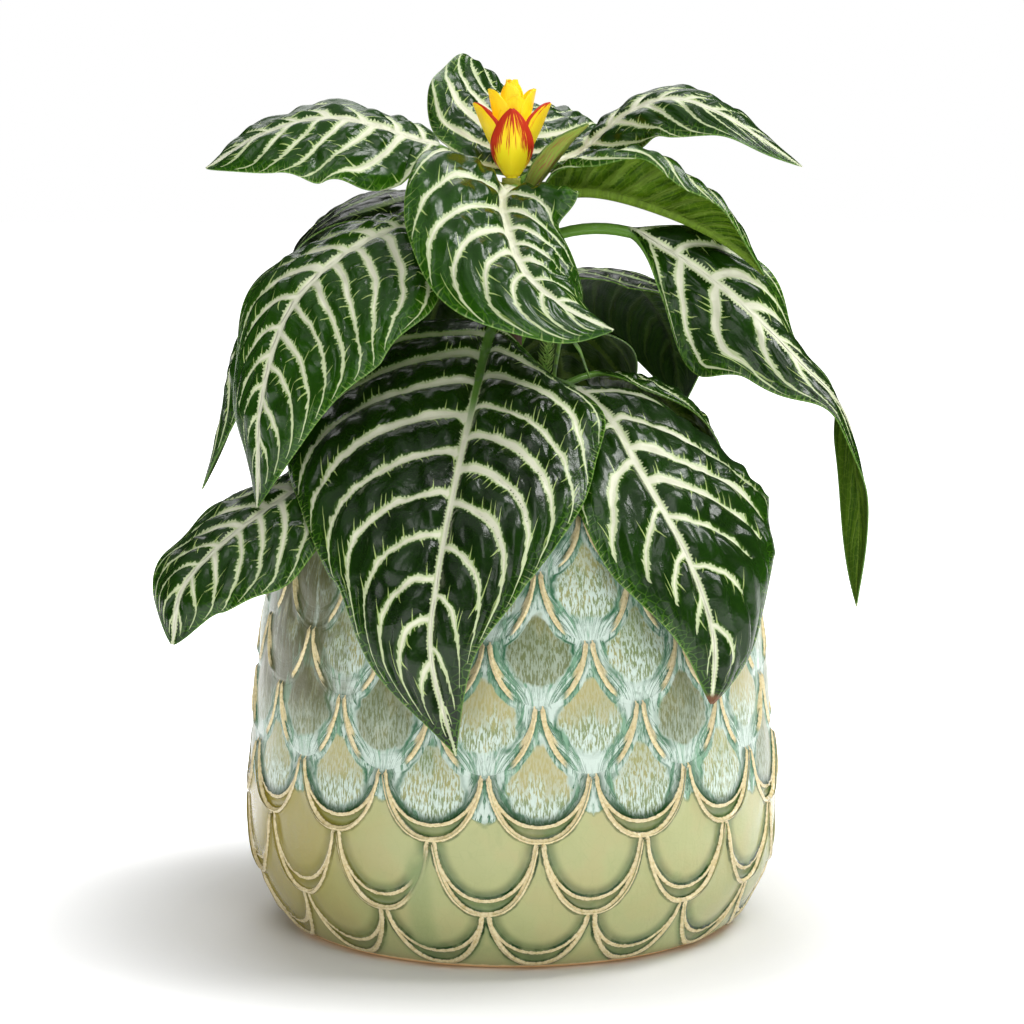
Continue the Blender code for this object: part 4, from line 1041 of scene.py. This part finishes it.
def tubeSkin(path, radii, sides):
    # rings of radius r(s) square to the path, closed by a point at each end
    path = np.asarray(path, float)
    ahead = unit(np.gradient(path, axis=0))
    guide = np.array((0.0, 1.0, 0.0)) if abs(ahead[0][1]) < 0.9 else np.array((1.0, 0.0, 0.0))
    across = unit(np.cross(guide, ahead))
    other = np.cross(ahead, across)
    turn = turnsOf(sides)[:, None]
    radii = np.asarray(radii, float)
    if radii.ndim == 1:
        radii = radii[:, None] * np.ones(sides)
    rings = path[:, None] + radii[..., None] * (
        np.cos(turn) * across[:, None] + np.sin(turn) * other[:, None])
    return closedRings(rings, path[0], path[-1])


def joined(skins):
    # several skins as one, with their faces renumbered
    points, faces, start = [], [], 0
    for skin, tiles in skins:
        points.append(skin)
        faces += [tuple(start + i for i in tile) for tile in tiles]
        start += len(skin)
    return np.concatenate(points), faces


def lumps(x, y, seed, sizes):
    # a sum of crossed sine waves, one pair for each size, with seeded directions and phases
    draw = np.random.default_rng(seed)
    total = np.zeros_like(x)
    for size in sizes:
        for _ in range(3):
            turn, shift = draw.uniform(0, 2 * math.pi, 2)
            total += size * np.sin((x * math.cos(turn) + y * math.sin(turn)) * 4.2 / size + shift)
    return total / 3


soilLook = dict(rings=70, sides=200, sizes=(9.0, 4.2, 2.1, 1.1), rise=0.34, gap=0.35, clods=420,
                clodSize=(0.7, 2.6), dark=(0.012, 0.008, 0.005), pale=(0.07, 0.045, 0.028))


def makeSoil():
    # a lumpy disc, height = sum of sines, with its edge turned down inside the pot, and clods
    look, top = soilLook, stemSize["soilTop"]
    edge = insideRadius(top) - look["gap"]
    turn = turnsOf(look["sides"])
    share = np.linspace(0.02, 1, look["rings"]) ** 0.8
    radius = share[:, None] * edge * np.ones_like(turn)
    x, y = radius * np.sin(turn), -radius * np.cos(turn)
    rim = np.clip((1 - share) * 12, 0, 1)[:, None]
    z = top + look["rise"] * lumps(x, y, 4, look["sizes"]) * rim
    down = [ringAt(turn, insideRadius(h) - look["gap"], h)[None] for h in (top - 6, top - 14)]
    grid = np.concatenate([np.stack([x, y, z], -1), *down])
    skins = [closedRings(grid, (0, 0, z[0].mean()), (0, 0, top - 14), flipped=True)]
    draw = np.random.default_rng(11)
    ball, tiles = tubeSkin([(0, 0, h) for h in (-0.8, -0.3, 0.35, 0.8)], [0.55, 1, 0.95, 0.5], 6)
    for _ in range(look["clods"]):
        away, way = edge * 0.95 * math.sqrt(draw.uniform(0.006, 1)), draw.uniform(0, 2 * math.pi)
        size = draw.uniform(*look["clodSize"]) ** 1.3
        spot = np.array((away * math.sin(way), -away * math.cos(way)))
        rise = look["rise"] * lumps(spot[:1], spot[1:], 4, look["sizes"])[0]
        turnBy = np.linalg.qr(draw.normal(size=(3, 3)))[0]
        turnBy *= np.sign(np.linalg.det(turnBy))
        clod = (ball * draw.uniform(0.75, 1.2, ball.shape)) @ turnBy * size * 0.5
        skins.append((clod + (*spot, top + rise + size * 0.15), tiles))
    tree, shader = newMaterial("pottingSoil")
    spotAt = objectPlace(tree)
    coarse, fine = noise(tree, spotAt, 240, 4.0, 0.6), noise(tree, spotAt, 1500, 3.0)
    grains = cells(tree, spotAt, 700)
    damp = (coarse * 0.7 + grains * 0.6).step(0.3, 0.95)
    finished(tree, shader, mixed(tree, damp, look["dark"], look["pale"]), 0.8 + fine * 0.15)
    bumped(tree, shader, coarse + grains * 0.6 + fine * 0.4, 0.8)
    madePiece("look_soil", *joined(skins), ("pottingSoil",), "soil", "potting_soil")
    print("soil done")


stemLook = dict(bark=(0.075, 0.018, 0.016), pale=(0.16, 0.06, 0.035), joint=(0.045, 0.06, 0.02),
                neck=(0.34, 0.36, 0.04), swell=0.16, swellHalf=2.6, ridge=0.09)


def makeStem():
    # a tube of radius r(z) * (1 + swell * sum exp(-((z - node)/w)^2)) with slight ribs
    size, look = stemSize, stemLook
    foot = size["soilTop"] - size["buried"]
    z = np.linspace(foot, size["height"], size["rows"])
    nodes = np.array([leaf["node"] for leaf in leaves.values()], float)
    turn = turnsOf(size["sides"])
    swell = np.exp(-((z[:, None] - nodes) / look["swellHalf"]) ** 2).max(1)
    radius = stemRadius(np.maximum(z, size["soilTop"])) * (1 + look["swell"] * swell)
    up = z[:, None]
    ribs = look["ridge"] * (np.sin(9 * turn + 0.08 * up) + np.sin(5 * turn - 0.21 * up))
    points, faces = tubeSkin(np.stack([0 * z, 0 * z, z], -1), radius[:, None] + ribs, size["sides"])
    tree, shader = newMaterial("woodyStem")
    spot = objectPlace(tree)
    x, y, up = parts(tree, spot)
    streak = noise(tree, vector(tree, x * 1400.0, y * 1400.0, up * 160.0), 1.0, 4.0, 0.6)
    spots = cells(tree, spot, 900)
    colour = mixed(tree, streak.step(0.35, 0.7), look["bark"], look["pale"])
    green = (up / mm).step(200.0, 262.0, 0.0, 0.75)
    colour = mixed(tree, green, colour, look["joint"])
    colour = mixed(tree, (up / mm).step(261.0, 266.0), colour, look["neck"])
    finished(tree, shader, mixed(tree, spots.fall(0.0, 0.25, 0.5), colour, look["pale"]),
             0.42 + streak * 0.25)
    bumped(tree, shader, streak + spots * 0.5, 0.35)
    madePiece("look_stem", points, faces, ("woodyStem",), "stem", "woody_stem")
    print("stem done")


flower = dict(
    # each pair: which ways it faces, root height, how far out its middle and tip stand, tip
    # height, half width, fold and curl of its halves, and the powers of its outline
    pairs=(((0, 180), 267.0, 9.4, 9.0, 293.0, 8.6, (4, 42), (0.7, 0.72)),
           ((-90, 90), 268.5, 7.8, 13.6, 294.8, 9.8, (12, 50), (0.75, 0.62)),
           ((18, 198), 273.0, 5.6, 6.4, 297.4, 7.8, (5, 44), (0.6, 0.6)),
           ((-80, 100), 276.0, 5.4, 8.3, 299.6, 8.4, (10, 52), (0.6, 0.55)),
           ((-35, 145), 281.0, 4.8, 2.8, 301.6, 6.6, (8, 58), (0.55, 0.42)),
           ((55, 235), 284.0, 3.8, 1.8, 303.0, 5.6, (10, 60), (0.55, 0.42))),
    waist=0.48, thick=0.5, rows=36, halfColumns=9,
    core=((1.6, 266.0), (2.0, 268.5), (2.7, 274.0), (2.3, 286.0), (1.3, 298.0)),
    yellow=(0.98, 0.80, 0.02), gold=(0.98, 0.65, 0.012), red=(0.50, 0.03, 0.008),
    leafGreen=(0.16, 0.24, 0.03), glow=0.2)


def makeFlower():
    # cupped bracts, each a bent blade of its own, round a slim core
    f = flower
    skins, paints = [], []
    columns = mirrored(np.linspace(0, 1, f["halfColumns"] + 1))
    for order, (ways, root, waist, tipOut, tip, half, cup, form) in enumerate(f["pairs"]):
        for way in ways:
            shape = dict(
                heading=way, node=root, foot=(0, 0), stalk=0.6, width=half, shape=form,
                path=((waist, root + (tip - root) * f["waist"]), (tipOut, tip)),
                left=cup, right=cup, lean=0, slim=1.2, wave=(0.3, 3))
            sheet, t, spread, _ = bladeSheet(shape, f["rows"], columns, 2)
            normal = normalsOf(sheet)
            keel = 0.3 * np.exp(-(columns[None, :] * spread / 0.8) ** 2)
            lift = normal * (f["thick"] / 2)
            points, faces, _ = shellOf(sheet + lift, sheet - lift - normal * keel[..., None])
            skins.append((points, faces.tolist()))
            ones = np.ones_like(spread)
            paint = np.stack([t[:, None] * ones, columns * ones, (order + way / 400) * ones], -1)
            paints.append(np.concatenate([paint, paint[:, ::-1]], axis=1).reshape(-1, 3))
    core = np.array(f["core"], float)
    at = np.linspace(core[0, 1], core[-1, 1], 24)
    tube = tubeSkin(np.stack([0 * at, 0 * at, at], -1), np.interp(at, core[:, 1], core[:, 0]), 20)
    skins.append(tube)
    paints.append(np.tile((0.1, 0.0, 9.0), (len(tube[0]), 1)))
    tree, shader = newMaterial("flowerBract")
    t, across, order = painted(tree, "bractPlace")
    strokes = noise(tree, vector(tree, across * 7.0, t * 1.4, order * 3.0), 1.0, 3.0, 0.6)
    fine = noise(tree, vector(tree, across * 24.0, t * 3.0, order * 5.0), 1.0, 2.0)
    # red strokes run down from the tips of the outer bracts, and redden their edges
    first = order.fall(0.5, 0.6)
    second = order.fall(1.5, 1.6)
    redder = first * 0.55 + second * 0.2
    rim = abs(across) ** 3.0 * (0.2 + second * 0.42) + t.step(0.9, 1.0) * 0.25
    mark = t * redder + rim + (strokes - 0.5) * 1.3 + (fine - 0.5) * 0.6
    colour = mixed(tree, (t + (fine - 0.5) * 0.5 + order * 0.06).step(0.3, 1.1), f["yellow"],
                   f["gold"])
    colour = mixed(tree, (t * -1.0).step(-0.12, -0.02) * 0.5 * first, colour, f["leafGreen"])
    colour = mixed(tree, mark.step(0.5, 0.62), colour, f["red"])
    # the bracts also glow a little by glow: painted light that brightens the flower head
    finished(tree, shader, colour, 0.36 + fine * 0.15, Emission_Color=colour,
             Emission_Strength=f["glow"], Specular_IOR_Level=0.25, Subsurface_Weight=0.12,
             Subsurface_Scale=0.0015)
    bumped(tree, shader, fine + strokes * 0.5, 0.12)
    madePiece("look_flower_head", *joined(skins), ("flowerBract",), "flower_head",
              "flower_bract", paint=dict(bractPlace=np.concatenate(paints)))
    print("flower head done")


bractLook = dict(
    # above and below: how streaks stretch, their place, their span, two colours, the midline's
    # strength, roughness
    bractGreen=((0.12, 1.6, 0.0), (0.35, 0.65), (0.055, 0.14, 0.015), (0.20, 0.30, 0.045), 0.7,
                0.35),
    bractFlushed=((0.1, 1.9, 4.0), (0.3, 0.55), (0.40, 0.16, 0.06), (0.32, 0.44, 0.06), 0.0,
                  0.4))
bractMidline = (0.45, 0.48, 0.2)


def makeBractLeaf():
    # the narrow bract leaf beside the flower head: green above, streaked red brown below
    for name, (stretch, span, first, second, midline, rough) in bractLook.items():
        tree, shader = newMaterial(name)
        run = painted(tree, "veinSize")[1]
        side = painted(tree, "veinPlace")[2]
        place = vector(tree, run * stretch[0], side * stretch[1], stretch[2])
        streak = noise(tree, place, 1.0, 3.0, 0.6)
        colour = mixed(tree, streak.step(*span), first, second)
        colour = mixed(tree, abs(side).fall(0.15, 0.5, midline), colour, bractMidline)
        finished(tree, shader, colour, rough + streak * 0.2)
        bumped(tree, shader, streak, 0.3)
    points, faces, kinds, paint = bladeSkin(bractLeaf, 60, 14, 6)
    madePiece("look_leafy_bract", points, faces, ("bractGreen", "bractFlushed"), "leafy_bract",
              "green_bract", kinds, paint)
    print("bract leaf done")


weeds = dict(
    sprigFoot=(10.0, -3.0, 138.0), sprigTop=(13.5, -3.5, 216.0), whorls=30, firstWhorl=184.0,
    needles=5, needleLength=(5.4, 2.4), needleHalf=0.28, stalkHalf=0.5,
    seedling=dict(heading=80, node=129.0, foot=(15.4, 4.0), stalk=80.0, width=2.6,
                  path=((0.2, 200), (4, 213), (8.5, 208), (13, 196)), left=(0, -20),
                  right=(0, -20), slim=0.75, full=1.4, sheet=0.4, veins=3, quilt=0.0,
                  wave=(0.2, 2)),
    green=(0.26, 0.50, 0.07), pale=(0.50, 0.70, 0.18), dusty=(0.13, 0.19, 0.10))


def needleSkin(foot, way, length, half):
    # a thin spine that curves up: out * s + up * s^2, and narrows as 1 - s
    s = np.linspace(0, 1, 6)[:, None]
    out = np.array((math.sin(way), -math.cos(way), 0.25))
    path = foot + out * s * length * 0.85 + np.array((0, 0, 1.0)) * s**2 * length * 0.55
    return tubeSkin(path, (half * (1 - s) ** 0.6 + 0.03)[:, 0], 5)


def makeWeeds():
    # a bowed sprig, foot + (top - foot) * s + bow * sin(pi s), with whorls of needles that
    # grow shorter upwards, and a small seedling made like a leaf
    w = weeds
    foot, top = np.array(w["sprigFoot"]), np.array(w["sprigTop"])
    share = np.linspace(0, 1, 40)[:, None]
    bow = np.array((-1.6, 0.3, 0.0)) * np.sin(np.pi * share)
    line = foot + (top - foot) * share + bow
    skins = [tubeSkin(line, np.linspace(w["stalkHalf"], 0.2, 40), 8)]
    draw = np.random.default_rng(3)
    for index in range(w["whorls"]):
        part = index / (w["whorls"] - 1)
        high = w["firstWhorl"] + (top[2] - w["firstWhorl"]) * part
        at = np.array([np.interp(high, line[:, 2], line[:, i]) for i in range(3)])
        longest, shortest = w["needleLength"]
        length = longest + (shortest - longest) * part
        for spoke in range(w["needles"]):
            way = 2 * math.pi * (spoke + 0.38 * index) / w["needles"] + draw.uniform(-0.2, 0.2)
            skins.append(needleSkin(at, way, length * draw.uniform(0.85, 1.1), w["needleHalf"]))
    for name, first, second in (("sprigGreen", w["green"], w["pale"]),
                                ("seedlingGreen", w["dusty"], w["green"])):
        tree, shader = newMaterial(name)
        spot = objectPlace(tree)
        cloud = noise(tree, spot, 420, 3.0)
        finished(tree, shader, mixed(tree, cloud.step(0.3, 0.7), first, second),
                 0.45 + cloud * 0.2)
        bumped(tree, shader, cloud, 0.15)
    madePiece("look_weed_sprig", *joined(skins), ("sprigGreen",), "weed_sprig", "weed_green")
    points, faces, _, paint = bladeSkin(w["seedling"], 40, 8, 30)
    madePiece("look_weed_seedling", points, faces, ("seedlingGreen",), "weed_seedling",
              "weed_green", paint=paint)
    print("weeds done")


setStudio()
makePot()
makeSoil()
makeStem()
makeLeaves()
makeBractLeaf()
makeFlower()
makeWeeds()
